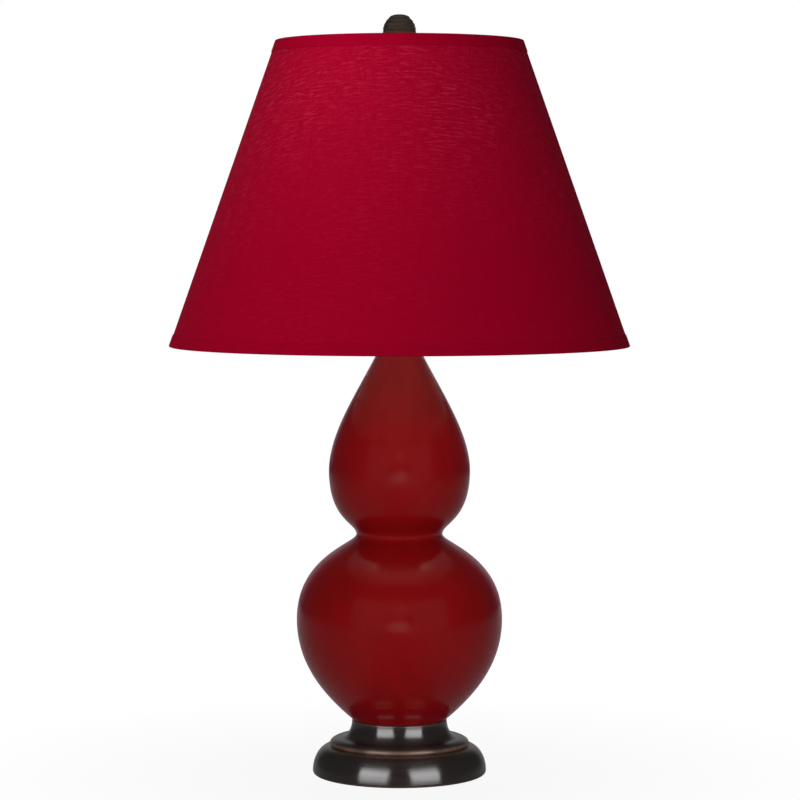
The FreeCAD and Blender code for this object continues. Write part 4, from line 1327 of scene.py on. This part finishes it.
@dataclass
class Lampholder:
    """The brass lampholder with its turn key. Sizes in millimetres."""

    bore: float = 4.85
    hub: float = 7.5
    hub_step: float = 5.5
    hub_inside: float = 6.7
    bell_rise: float = 9.0
    bell_wall: float = 0.9
    bell_lines: tuple[float, float] = (1.6, 1.7)  # above the bell's edge, and below its top
    screw_height: float = 3.0
    screw_hole: float = 1.55
    shell_inner: float = 15.4
    shell_outer: float = 16.0
    shell_lines: tuple[float, float, float] = (19.0, 21.2, 8.0)  # two above its foot, one below its top
    curl: float = 0.9
    slot: float = 2.6
    stem: float = 1.6
    key_length: float = 11.5
    key_thick: float = 3.4
    key_soft: float = 0.7
    key_ridge: float = 0.30

    @property
    def stem_height(self) -> float:
        """The height of the key's stem."""
        low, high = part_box("switch_knob")
        return (low.z + high.z) / 2 / MM

    def bell(self) -> None:
        """The bell-shaped cap: a hub, a swelling shoulder and a rim with two turned lines."""
        low, high, rim = reach("socket_cap")
        step, inside = low + self.hub_step, low + self.hub_inside
        edge = step + self.bell_rise
        side = Outline(self.bore, low).corner(self.hub, low, 0.3, False, 2).line(self.hub, step, 3)
        side.quarter(rim, edge, True, 28).groove(edge + self.bell_lines[0], 1.1, 0.32)
        side.groove(high - self.bell_lines[1], 1.1, 0.32).corner(rim, high, 0.35, True)
        side.line(rim - self.bell_wall, high).line(rim - self.bell_wall, edge, 2)
        side.quarter(self.hub, inside, False, 18).line(self.bore, inside).close()
        piece = Surface.turned(side.points, 128).piece("holder_bell")
        carve(piece, Surface.drill(self.screw_hole, 0, 15.0, low + self.screw_height, 32))
        dress(piece, BRASS, Body.STAND, ("socket_cap",))

    def shell(self) -> None:
        """The outer shell: three pressed lines, a curled lip and the slot over the key's stem."""
        low, high, _ = reach("socket_shell")
        middle = high - self.curl
        lower, upper, last = self.shell_lines
        side = Outline(self.shell_inner, low).line(self.shell_outer, low)
        for height in (low + lower, low + upper, high - last):
            side.groove(height, 1.3, 0.28)
        side.line(self.shell_outer, middle - self.curl)
        angle = np.linspace(0, math.pi, 13)[1:]
        lip = [self.shell_outer + self.curl * np.sin(angle), middle - self.curl * np.cos(angle)]
        side.runs.append(np.stack(lip, axis=1))
        side.line(self.shell_inner, high).close()
        piece = Surface.turned(side.points, 128).piece("holder_shell")
        carve(piece, self.slot_tool(low - 1.0))
        dress(piece, BRASS, Body.STAND, ("socket_shell",))

    def slot_tool(self, foot: float) -> Surface:
        """A round-topped bar through the front wall: a half circle over two upright sides.

        Args:
            foot: the height of its flat end.

        Returns:
            The bar, to cut with.
        """
        front, back = -20.0, -10.0
        angle = np.linspace(0, math.pi, 25)
        x = np.concatenate([self.slot * np.cos(angle), [-self.slot, self.slot]])
        z = np.concatenate([self.stem_height + self.slot * np.sin(angle), [foot, foot]])
        sections = np.stack([np.stack([x, 0 * x + y, z], axis=1) for y in (front, back)]) * MM
        ends = (np.array([0, y, self.stem_height]) * MM for y in (front, back))
        return Surface.lofted(sections, *ends)

    def key_section(self, inset: np.ndarray, ridge: np.ndarray) -> np.ndarray:
        """The key's outline across it: two flats with ridges, joined by half circles.

        Args:
            inset: how far each section is drawn in.
            ridge: how far each section's flats dip between ridges.

        Returns:
            Array of sections by points by x and z, about the key's middle.
        """
        low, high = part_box("switch_knob")
        radius = self.key_thick / 2
        flat = (high.x - low.x) / 2 / MM - radius
        across = np.linspace(flat, -flat, 33)
        dip = (1 - np.cos(FULL_TURN * (across / flat + 1) * 2.5)) / 2 * (np.abs(across) < flat * 0.999)
        angle = np.linspace(math.pi / 2, 1.5 * math.pi, 15)[1:-1]
        round_x, round_z = radius * np.cos(angle), radius * np.sin(angle)
        x = np.concatenate([across, -flat + round_x, across[::-1], flat - round_x])
        z = np.concatenate([0 * across + radius, round_z, 0 * across - radius, -round_z])
        depth = np.concatenate([dip, 0 * angle, -dip[::-1], 0 * angle])
        x = x[None] - inset[:, None] * x[None] / (flat + radius)
        z = z[None] * (1 - inset[:, None] / radius) - ridge[:, None] * depth[None]
        return np.stack([x, z], axis=-1)

    def key(self) -> None:
        """The turn key: a ridged, round-ended paddle on a round stem."""
        low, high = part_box("switch_knob")
        front, stem_end = low.y / MM, high.y / MM
        back = front + self.key_length
        ease = np.linspace(0, math.pi / 2, 7)
        lead, drawn_in = self.key_soft * (1 - np.cos(ease)), self.key_soft * (1 - np.sin(ease))
        level = np.linspace(self.key_soft, self.key_length - self.key_soft, 16)[1:-1]
        depth = np.concatenate([lead, level, self.key_length - lead[::-1]])
        inset = np.concatenate([drawn_in, 0 * level, drawn_in[::-1]])
        rise, fall = (depth - 0.9) / 0.8, (self.key_length - 2.5 - depth) / 1.2
        flat = self.key_section(inset, self.key_ridge * np.clip(rise, 0, 1) * np.clip(fall, 0, 1))
        y = np.broadcast_to((front + depth)[:, None], flat.shape[:2])
        sections = np.stack([flat[..., 0], y, flat[..., 1] + self.stem_height], axis=-1) * MM
        ends = (np.array([0, y, self.stem_height]) * MM for y in (front, back))
        side = Outline(0, back - 0.4).line(self.stem, back - 0.4).line(self.stem, stem_end - 0.3, 3)
        side.line(self.stem - 0.3, stem_end).line(0, stem_end)
        stem = Surface.turned(side.points, 32).laid_back(self.stem_height)
        piece = Surface.lofted(sections, *ends).joined(stem).piece("turn_key", 50)
        dress(piece, KNOB_BLACK, Body.SWITCH, ("switch_knob",))

    def build(self) -> None:
        """Make the bell, the shell and the key."""
        self.bell()
        self.shell()
        self.key()


@dataclass
class Bulb:
    """The bulb's screw cap and its frosted envelope. Sizes in millimetres."""

    cap_wall: float = 0.5
    cap_foot: float = 10.0
    cap_taper: float = 2.8
    thread_pitch: float = 3.63
    thread_depth: float = 0.40
    thread_end: float = 2.2
    glass_wall: float = 0.8
    glass_neck: float = 12.45
    glass_sunk: float = 14.0
    reach_low: float = 30.0
    reach_high: float = 32.0

    def cap(self) -> None:
        """The rolled screw cap: a tapered foot, a round thread and a plain rim."""
        low, high, rim = reach("bulb_cap")
        wall, shoulder = self.cap_wall, low + self.cap_taper
        side = Outline(0, low).line(self.cap_foot, low, 4).line(rim, shoulder, 5).line(rim, high, 56)
        side.line(rim - wall, high).line(rim - wall, shoulder, 4)
        side.line(self.cap_foot - wall, low + wall, 4).line(0, low + wall, 4)
        thread = (self.thread_pitch, self.thread_depth, shoulder + 0.4, high - self.thread_end, rim - 0.2)
        cup = Surface.turned(side.points, 96).threaded(*thread)
        dress(cup.piece("bulb_screw", 50), CAP_METAL, Body.BULB, ("bulb_cap",))

    def envelope(self) -> None:
        """The blown glass: a straight neck, a long swell and a round crown, the same inside."""
        low, high, widest = reach("bulb_glass")
        rim, wall, neck, middle = low + self.glass_sunk, self.glass_wall, self.glass_neck, high - widest
        side = Outline(neck, low).line(neck, rim, 6)
        side.cubic((0, self.reach_low), (0, -self.reach_high), widest, middle, 48)
        side.quarter(0, high, False, 32).line(0, high - wall)
        side.quarter(widest - wall, middle, True, 24)
        side.cubic((0, -self.reach_high), (0, self.reach_low), neck - wall, rim, 32)
        side.line(neck - wall, low, 3).close()
        piece = Surface.turned(side.points, 144).piece("bulb_envelope")
        dress(piece, BULB_GLASS, Body.BULB, ("bulb_glass",))

    def build(self) -> None:
        """Make the cap and the envelope."""
        self.cap()
        self.envelope()


@dataclass
class Shade:
    """The tapered cloth shade with its hems, backing, rings and fitter. Sizes in millimetres."""

    hem_height: float = 9.0
    hem_turn_in: float = 6.0
    hem_thick: float = 0.5
    hem_roll: float = 0.75
    hem_soft: float = 0.22
    cloth_inset: float = 0.55
    cloth_thick: float = 0.45
    lap_gap: float = 0.02
    backing_inset: float = 1.05
    backing_thick: float = 0.4
    turned_inset: float = 1.5
    glue: float = 0.05
    seam_degrees: float = 4.0
    wire: float = 1.5
    ring_inset: float = 3.0
    hub_bore: float = 3.25
    hub_mouth: float = 0.2
    hub_round: float = 0.4
    weld_flat: float = 0.55  # the arm's share of its thickness where it is pressed on the washer
    weld_share: float = 0.07  # how much of its length that takes
    top: float = field(init=False)
    foot: float = field(init=False)
    top_radius: float = field(init=False)
    foot_radius: float = field(init=False)
    slope: float = field(init=False)

    def __post_init__(self) -> None:
        """Read the edges from the frame. The slope is the radius gained for each millimetre down."""
        self.foot, _, self.foot_radius = reach("bottom_hem")
        _, self.top, hem_foot = reach("top_hem")
        self.slope = (self.foot_radius - hem_foot) / (self.top - self.hem_height - self.foot)
        self.top_radius = hem_foot - self.slope * self.hem_height

    def radius(self, height: np.ndarray | float) -> np.ndarray | float:
        """The outer radius at a height."""
        return self.top_radius + (self.top - height) * self.slope

    def flat_cut(self, radius: np.ndarray, turn: np.ndarray) -> np.ndarray:
        """Lay the cone flat: (rho sin f, rho cos f), rho = r / sin(cone), f = turn sin(cone).

        Args:
            radius: the radius at each point, in metres.
            turn: the angle from the front at each point.

        Returns:
            Array of points by 2, in metres.
        """
        cone = math.atan(self.slope)
        rho = radius / math.sin(cone)
        swing = turn * math.sin(cone)
        return np.stack([rho * np.sin(swing), rho * np.cos(swing)], axis=-1)

    def cone_sheet(
        self, inset: np.ndarray, thick: float, foot: float, top: float, turn: np.ndarray
    ) -> Surface:
        """A closed sheet on the cone: outer face, upper edge, inner face, lower edge.

        Args:
            inset: how far the outer face lies inside the shade's, for each turn.
            thick: the sheet's thickness.
            foot: the lower edge's height.
            top: the upper edge's height.
            turn: the angles from the front that the sheet covers.

        Returns:
            The sheet, with its flat cut as surface coordinates.
        """
        rows = 48
        up = np.linspace(foot, top, rows)[:, None]
        outer = self.radius(up) - inset
        radius = np.vstack([outer, (outer - thick)[::-1]])
        height = np.vstack([up + 0 * turn, up[::-1] + 0 * turn])
        points = np.stack([radius * np.sin(turn), -radius * np.cos(turn), height], axis=-1)
        sheet = Surface.grid(points * MM, wrap_rows=True)
        sheet.uv = self.flat_cut(radius * MM, turn + 0 * radius).reshape(-1, 2)
        ends = [self.end_face(rows, len(turn), column) for column in (0, len(turn) - 1)]
        sheet.faces = np.vstack([sheet.faces, *ends])
        return sheet

    @staticmethod
    def end_face(rows: int, columns: int, column: int) -> np.ndarray:
        """Close one upright end: each row's outer edge to its inner edge.

        Args:
            rows: how many rows each face of the sheet has.
            columns: how many columns it has.
            column: the column that is closed.

        Returns:
            The end's faces.
        """
        i = np.arange(rows - 1)
        outer, inner = i * columns + column, (2 * rows - 1 - i) * columns + column
        return np.stack([outer, outer + columns, inner - columns, inner], axis=1)

    def cloth(self) -> None:
        """The cloth, lapped over itself at the back, with its slub weave on the flat cut."""
        lap, edge, gap = math.radians(self.seam_degrees), self.cloth_inset, self.lap_gap
        turn = np.linspace(-math.pi - lap / 2, math.pi + lap / 2, 361)
        lift = np.clip((turn - (math.pi - lap * 0.75)) / (lap * 0.25), 0, 1)
        inset = edge - (self.cloth_thick + gap) * lift * 0.98 + gap * (turn < -math.pi + lap)
        sheet = self.cone_sheet(inset, self.cloth_thick - gap, self.foot + edge, self.top - edge, turn)
        piece = dress(sheet.piece("shade_cloth", 60), CLOTH, Body.SHADE, ("shade_fabric",))

    def backing(self) -> None:
        """The stiff white sheet that the cloth is laminated to."""
        low, high = self.foot + self.cloth_inset, self.top - self.cloth_inset
        outer = self.backing_inset
        inner = outer + self.backing_thick
        side = Outline(self.radius(low) - outer, low).line(self.radius(high) - outer, high, 24)
        side.line(self.radius(high) - inner, high).line(self.radius(low) - inner, low, 24).close()
        piece = Surface.turned(side.points, 256).piece("shade_backing")
        dress(piece, STYRENE, Body.SHADE, ("shade_liner",))

    def hem(self, name: str, node: str, edge: float, inward: int) -> None:
        """A cloth strip folded over one edge, its rolled fold rounded and its raw edge slightly wavy.

        Args:
            name: the new piece's name.
            node: the node that it stands for.
            edge: the height of the edge that it covers.
            inward: +1 up from the foot, -1 down from the top.
        """
        inner, thick, soft, segments = self.turned_inset, self.hem_thick, self.hem_soft, 360
        outer_end, inner_end = edge + inward * self.hem_height, edge + inward * self.hem_turn_in
        fold, roll = edge + inward * thick, edge + inward * self.hem_roll
        r = self.radius
        side = Outline(r(roll), roll)
        side.line(r(outer_end - inward * soft), outer_end - inward * soft, 10)
        side.quarter(r(outer_end) - soft, outer_end, False, 4)
        side.line(r(outer_end) - thick, outer_end)
        outer_points = len(side.points)
        side.line(r(fold) - thick, fold)
        side.line(r(fold) - inner, fold)
        side.line(r(inner_end) - inner, inner_end, 4)
        side.line(r(inner_end) - inner - thick, inner_end)
        side.line(r(roll) - inner - thick, roll, 4)
        side.quarter(r(edge) - inner * 0.5 - thick / 2, edge, False, 8)
        outline = side.quarter(r(roll), roll, True, 8).points
        strip = Surface.turned(outline, segments)
        turn = np.tile(np.linspace(0, FULL_TURN, segments, endpoint=False), len(outline))
        depth = np.abs(strip.vertices[:, 2] - edge * MM) / (self.hem_height * MM)
        outside = np.repeat(np.arange(len(outline)) < outer_points, segments)
        ripple = 0.16 * np.sin(23 * turn) + 0.11 * np.sin(57 * turn + 1.1) + 0.05 * np.sin(131 * turn)
        strip.vertices[:, 2] += ripple * MM * np.clip(depth - 0.8, 0, 0.2) * 5 * outside
        arc = np.minimum(turn, FULL_TURN - turn) * self.radius(edge) * MM
        strip.uv = np.stack([arc, strip.vertices[:, 2]], axis=1)
        dress(strip.piece(name, 70), HEM_CLOTH, Body.SHADE, (node,))

    def ring_radius(self, height: float) -> float:
        """A wire ring's radius where it lies against the turned-in hem."""
        layers = self.turned_inset + self.hem_thick + self.glue
        return self.radius(height) - layers - self.wire / math.cos(math.atan(self.slope))

    def ring(self, name: str, node: str, height: float) -> None:
        """A round wire ring.

        Args:
            name: the new piece's name.
            node: the node that it stands for.
            height: the height of its centre line.
        """
        turn = np.linspace(0, FULL_TURN, 288, endpoint=False)
        radius = self.ring_radius(height) * MM
        path = np.stack([radius * np.cos(turn), radius * np.sin(turn), 0 * turn + height * MM], axis=1)
        ring = Surface.swept(path, self.wire * MM, (0, 0, 1), 20, closed=True)
        dress(ring.piece(name), STEEL, Body.SHADE, (node,))

    def fitter_washer(self) -> tuple[float, float]:
        """The washer under the finial, its edges rolled.

        Returns:
            The radius of its rim and the height of its middle.
        """
        low, high, rim = reach("fitter_hub")
        bore, mouth = self.hub_bore, self.hub_mouth
        side = Outline(bore, low + mouth).quarter(bore + mouth, low, False, 3)
        side.corner(rim, low, self.hub_round, False, 4, 5).corner(rim, high, self.hub_round, True, 1, 5)
        side.line(bore + mouth, high, 4).quarter(bore, high - mouth, False, 3).close()
        washer = Surface.turned(side.points, 112).piece("fitter_washer")
        dress(washer, STEEL, Body.SHADE, ("fitter_hub",))
        return rim, (low + high) / 2

    def arm(self, name: str, node: str, degrees: float, rim: float, middle: float) -> None:
        """A wire arm from the washer's rim up to the ring, pressed flat where it is welded on.

        Args:
            name: the new piece's name.
            node: the node that it stands for.
            degrees: its turn about the axis.
            rim: the washer's radius.
            middle: the height of the washer's middle.
        """
        angle, height, sides = math.radians(degrees), self.top - self.ring_inset, 20
        outward = np.array([math.cos(angle), math.sin(angle), 0])
        start = outward * (rim - 0.6) + [0, 0, middle]
        end = outward * (self.ring_radius(height) - 0.4) + [0, 0, height]
        share = np.concatenate([[0, 1e-5], np.linspace(0, 1, 44)[1:-1], [1 - 1e-5, 1]])
        path = start + share[:, None] * (end - start)
        radii = np.full(len(share), self.wire)
        radii[[0, -1]] = 0
        wire = Surface.swept(path * MM, radii * MM, (-math.sin(angle), math.cos(angle), 0.0), sides)
        flatten = self.weld_flat + (1 - self.weld_flat) * np.clip(share / self.weld_share, 0, 1)
        squeeze, line = np.repeat(flatten, sides), np.repeat(path[:, 2] * MM, sides)
        x, y, z = wire.vertices.T
        wire.vertices = np.stack([x, y, line + (z - line) * squeeze], axis=1)
        dress(wire.piece(name), STEEL, Body.SHADE, (node,))

    def build(self) -> None:
        """Make the whole shade."""
        self.backing()
        self.cloth()
        self.hem("top_binding", "top_hem", self.top, -1)
        self.hem("bottom_binding", "bottom_hem", self.foot, 1)
        self.ring("lower_ring", "bottom_ring", self.foot + self.ring_inset)
        self.ring("upper_ring", "top_ring", self.top - self.ring_inset)
        rim, middle = self.fitter_washer()
        for side, degrees in (("rear", 90), ("left", 210), ("right", 330)):
            self.arm(f"{side}_arm", f"fitter_arm_{side}", degrees, rim, middle)


@dataclass
class Finial:
    """The beehive finial. Sizes in millimetres, depths below its tip."""

    flange: float = 7.0
    flange_thick: float = 1.6
    neck: float = 4.8
    neck_height: float = 2.2
    bore: float = 3.25
    bore_end: float = 17.5
    hive_radius: float = 12.8
    rings: int = 7
    pitch: float = 3.1
    tuck: float = 0.8  # how far the hive is drawn in at its foot
    shallow: float = 0.38  # how far each ring stands out
    hive_half: float = 13.2
    hive_middle: float = 13.0
    least_wear: float = 0.25
    crest_band: float = 0.35

    def swell(self, depth: np.ndarray | float) -> np.ndarray | float:
        """The beehive's envelope: R sqrt(1 - ((middle - depth) / half)^2)."""
        share = (self.hive_middle - depth) / self.hive_half
        return self.hive_radius * np.sqrt(np.maximum(1 - share * share, 0.0))

    def outline(self, foot: float, tip: float) -> Outline:
        """Flange, neck, stacked round rings and a domed tip, then the blind bore.

        Args:
            foot: the flange's height.
            tip: the tip's height.

        Returns:
            The closed outline.
        """
        flange_top, hive_depth = foot + self.flange_thick, self.rings * self.pitch
        side = Outline(self.bore, foot).corner(self.flange, foot, 0.3, False)
        side.corner(self.flange, flange_top, 0.5, True).line(self.neck + 0.4, flange_top)
        side.quarter(self.neck, flange_top + 0.4, True, 4).line(self.neck, flange_top + self.neck_height)
        side.quarter(self.swell(hive_depth) - self.tuck, tip - hive_depth, True, 8)
        share = np.linspace(0, 1, 15)[1:]
        for ring in reversed(range(1, self.rings)):
            depth = (ring + 1 - share) * self.pitch
            bulge = np.sqrt(np.abs(np.sin(math.pi * share))) * self.shallow
            side.runs.append(np.stack([self.swell(depth) - self.shallow + bulge, tip - depth], axis=1))
        bore_top = tip - self.bore_end
        return side.quarter(0.0, tip, False, 14).through((0.0, bore_top), (self.bore, bore_top)).close()

    def build(self) -> None:
        """Turn the finial, with its wear along each ring's crest."""
        low, high, _ = reach("finial")
        points, segments = self.outline(low, high).points, 128
        turned = Surface.turned(points, segments)
        radius, depth = points[:, 0] / MM, high - points[:, 1] / MM
        crest = (radius - self.swell(depth) + self.crest_band) / self.crest_band
        crest = np.clip(crest, 0, 1) * (radius > self.neck + 0.2)
        turned.wear = np.repeat(self.least_wear + (1 - self.least_wear) * crest, segments)
        dress(turned.piece("beehive_finial", 32), DULL_BRONZE, Body.FINIAL, ("finial",))


@dataclass
class PlainParts:
    """The small parts whose own meshes stay, listed by finish."""

    finishes: tuple[tuple[Finish, tuple[str, ...]], ...] = (
        (STEEL, ("threaded_rod", "flat_washer", "lock_washer", "rod_nut")),
        (BRASS, ("harp_saddle", "socket_set_screw", "terminal_screws", "screw_shell", "centre_contact")),
        (LINER_FIBRE, ("socket_liner",)),
        (PHENOLIC, ("socket_body",)),
        (CAP_METAL, ("bulb_contact",)),
        (DARK_GLASS, ("bulb_insulator",)),
    )

    def build(self, nodes: dict[str, bpy.types.Object]) -> None:
        """Give every part that stays its finish.

        Args:
            nodes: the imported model's nodes by name.
        """
        for finish, names in self.finishes:
            for name in names:
                materials = nodes[name].data.materials
                materials.clear()
                materials.append(finish.material())
                log.info("%s: %s", name, finish.name)


# ---------------------------------------------------------------- studio


@dataclass(frozen=True)
class Softbox:
    """A rectangular lamp that faces a point. Sizes in metres, power in watts."""

    name: str
    place: Point
    size: tuple[float, float]
    power: float
    aim: Point
    glossy: bool = True  # whether it shows in reflections

    def hang(self, only: bpy.types.Collection | None = None) -> None:
        """Add the lamp.

        Args:
            only: the pieces that it lights, or None for all.
        """
        data = bpy.data.lights.new(self.name, "AREA")
        data.shape = "RECTANGLE"
        data.size, data.size_y = self.size
        data.energy = self.power
        made = bpy.data.objects.new(self.name, data)
        made.location = self.place
        made.rotation_euler = (Vector(self.aim) - Vector(self.place)).to_track_quat("-Z", "Y").to_euler()
        made.visible_glossy = self.glossy
        made.visible_camera = False
        bpy.context.scene.collection.objects.link(made)
        if only is not None:
            made.light_linking.receiver_collection = only


GOURD_MIDDLE = (0.0, 0.0, 0.25)
SHADE_MIDDLE = (0.0, 0.0, 0.45)
FOOT = (0.0, 0.0, 0.03)
ROOM_LAMPS = (
    Softbox("low_front_softbox", (0.0, -2.4, 0.1), (0.9, 0.5), 43.0, GOURD_MIDDLE, False),
    Softbox("high_front_softbox", (0.0, -2.3, 1.05), (0.9, 0.6), 11.5, GOURD_MIDDLE, False),
    Softbox("rear_softbox", (0.0, 2.0, 1.7), (0.9, 0.9), 36.0, GOURD_MIDDLE, False),
    Softbox("left_gloss", (-1.03, -1.47, 0.55), (1.3, 1.5), 1.3, GOURD_MIDDLE),
    Softbox("right_gloss", (1.03, -1.47, 0.55), (1.3, 1.5), 1.3, GOURD_MIDDLE),
)
CLOTH_LAMPS = (
    Softbox("cloth_key", (-1.5, -0.4, 0.5), (0.5, 0.5), 11.5, SHADE_MIDDLE, False),
    Softbox("cloth_top", (-0.11, -0.22, 0.68), (0.22, 0.12), 0.32, (-0.02, -0.1, 0.5), False),
    Softbox("cloth_fill", (1.5, -0.5, 0.4), (0.5, 0.5), 2.0, SHADE_MIDDLE, False),
)
BRONZE_LAMPS = (
    Softbox("bronze_left", (-1.03, -1.47, 0.5), (1.3, 1.5), 43.0, FOOT),
    Softbox("bronze_right", (1.03, -1.47, 0.5), (1.3, 1.5), 43.0, FOOT),
)
LINING_LAMPS = (
    Softbox("lining_left", (-0.085, 0.0, 0.50), (0.07, 0.07), 0.14, (-0.085, 0.0, 0.1), False),
    Softbox("lining_right", (0.085, 0.0, 0.50), (0.07, 0.07), 0.14, (0.085, 0.0, 0.1), False),
)
FITTINGS_LAMPS = (
    Softbox("fittings_overhead", (0.0, -0.3, 2.2), (1.6, 1.6), 20.0, SHADE_MIDDLE),
    Softbox("fittings_front", (0.3, -2.0, 0.2), (1.2, 1.2), 10.0, SHADE_MIDDLE),
)


@dataclass
class Studio:
    """The camera, the lamps, the backdrop's light and the floor. Sizes in metres."""

    distance: float = 2.285
    eye_height: float = 0.4315
    focal: float = 133.0
    pitch_degrees: float = 3.505
    right_shift: float = 0.0007
    floor_grey: float = 0.38
    floor_white: float = 0.92  # how self-lit the floor looks by the lamp, up to 1 further off
    floor_fade: tuple[float, float] = (0.10, 0.38)
    ambient: float = 0.09
    gloss_around: float = 0.05
    gloss_behind: float = 0.3
    behind: tuple[float, float] = (0.80, 0.97)

    def camera(self) -> None:
        """A long lens in front of the lamp, a little above its middle, tipped down to frame it."""
        data = bpy.data.cameras.new("camera")
        data.lens = self.focal
        data.sensor_width = 36.0
        data.clip_end = 50.0
        data.shift_x = self.right_shift
        made = bpy.data.objects.new("camera", data)
        made.location = (0.0, -self.distance, self.eye_height)
        made.rotation_euler = (math.radians(90 - self.pitch_degrees), 0.0, 0.0)
        bpy.context.scene.collection.objects.link(made)
        bpy.context.scene.camera = made

    @staticmethod
    def group(name: str, *finishes: Finish) -> bpy.types.Collection:
        """Gather the pieces in any of these finishes, for a lamp that lights only them.

        Args:
            name: the collection's name.
            finishes: the finishes.

        Returns:
            The collection.
        """
        materials = {finish.material() for finish in finishes}
        made = bpy.data.collections.new(name)
        for piece in bpy.data.objects:
            if piece.type == "MESH" and any(slot.material in materials for slot in piece.material_slots):
                made.objects.link(piece)
        return made

    def accents(self) -> None:
        """Hang the lamps that light only the cloth, the bronze, the lining or the bright metal."""
        for name, finishes, lamps in (
            ("cloth_lit", (CLOTH, HEM_CLOTH), CLOTH_LAMPS),
            ("bronze_lit", (BRONZE,), BRONZE_LAMPS),
            ("lining_lit", (STYRENE,), LINING_LAMPS),
            ("fittings_lit", (STEEL, BRASS, CAP_METAL), FITTINGS_LAMPS),
        ):
            pieces = self.group(name, *finishes)
            for lamp in lamps:
                lamp.hang(pieces)

    def world(self) -> None:
        """White to the camera and through glass, soft grey as light, and to gloss brightest at the back."""
        world = bpy.data.worlds.new("studio")
        bpy.context.scene.world = world
        nodes = Nodes(world)
        ray = nodes.node("LightPath").outputs
        seen = nodes.combine("MAXIMUM", ray["Is Camera Ray"], ray["Is Transmission Ray"])
        heading = nodes.node("TexCoord").outputs["Generated"]
        back = nodes.node("SeparateXYZ", {0: heading}).outputs["Y"]
        gloss = nodes.remap(back, *self.behind, self.gloss_around, self.gloss_behind)
        light = nodes.remap(ray["Is Glossy Ray"], 0.0, 1.0, self.ambient, gloss)
        level = nodes.combine("MAXIMUM", seen, light)
        white = nodes.node("Background", {"Color": (1.0, 1.0, 1.0, 1.0), "Strength": level})
        nodes.node("OutputWorld", {"Surface": white.outputs["Background"]})

    def floor(self) -> None:
        """A wide pale disc: softly shadowed by the lamp, white further off and clear from below."""
        turn = np.linspace(0, FULL_TURN, 96, endpoint=False)
        radius = np.array([0.0, 0.3, 0.8, 2.0, 6.0])[:, None]
        points = np.stack([radius * np.cos(turn), radius * np.sin(turn), 0 * radius * turn], axis=-1)
        made = Surface.grid(points, wrap_columns=True).piece("floor")
        if made.data.polygons[0].normal.z < 0:
            made.data.flip_normals()
        shader = Shader("pale_floor")
        grey = self.floor_grey
        shader.set(Base_Color=(grey, grey, grey, 1.0), Roughness=0.9, Specular_IOR_Level=0.0)
        length = shader.node("VectorMath", {0: shader.place(Spread.BLOCK)}, operation="LENGTH")
        far = shader.remap(length.outputs["Value"], *self.floor_fade, self.floor_white, 1.0)
        seen = shader.combine("MULTIPLY", far, shader.node("LightPath").outputs["Is Camera Ray"])
        white = shader.node("Emission").outputs["Emission"]
        lit = shader.either(seen, shader.principled.outputs["BSDF"], white)
        below = shader.node("NewGeometry").outputs["Backfacing"]
        clear = shader.node("BsdfTransparent").outputs["BSDF"]
        shader.fill(shader.output.inputs["Surface"], shader.either(below, lit, clear))
        made.data.materials.append(shader.material)

    def build(self) -> None:
        """Set the studio up."""
        self.camera()
        for lamp in ROOM_LAMPS:
            lamp.hang()
        self.world()
        self.floor()
        bpy.context.scene.view_settings.view_transform = "Standard"


def corners(bounds: tuple[Vector, Vector]) -> list[list[float]]:
    """A box as plain lists."""
    return [list(corner) for corner in bounds]


def main() -> None:
    """Load the frame, set the studio up, build every sub-assembly and hang the lamps that light only some
    finishes.
    """
    logging.basicConfig(level=logging.INFO, format="%(message)s")
    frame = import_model()
    studio = Studio()
    studio.build()
    CastBase().build()
    Gourd().build()
    NeckFittings().build()
    Harp().build()
    Lampholder().build()
    Bulb().build()
    PlainParts().build(frame["nodes"])
    Shade().build()
    Finial().build()
    studio.accents()


if __name__ == "__main__":
    main()
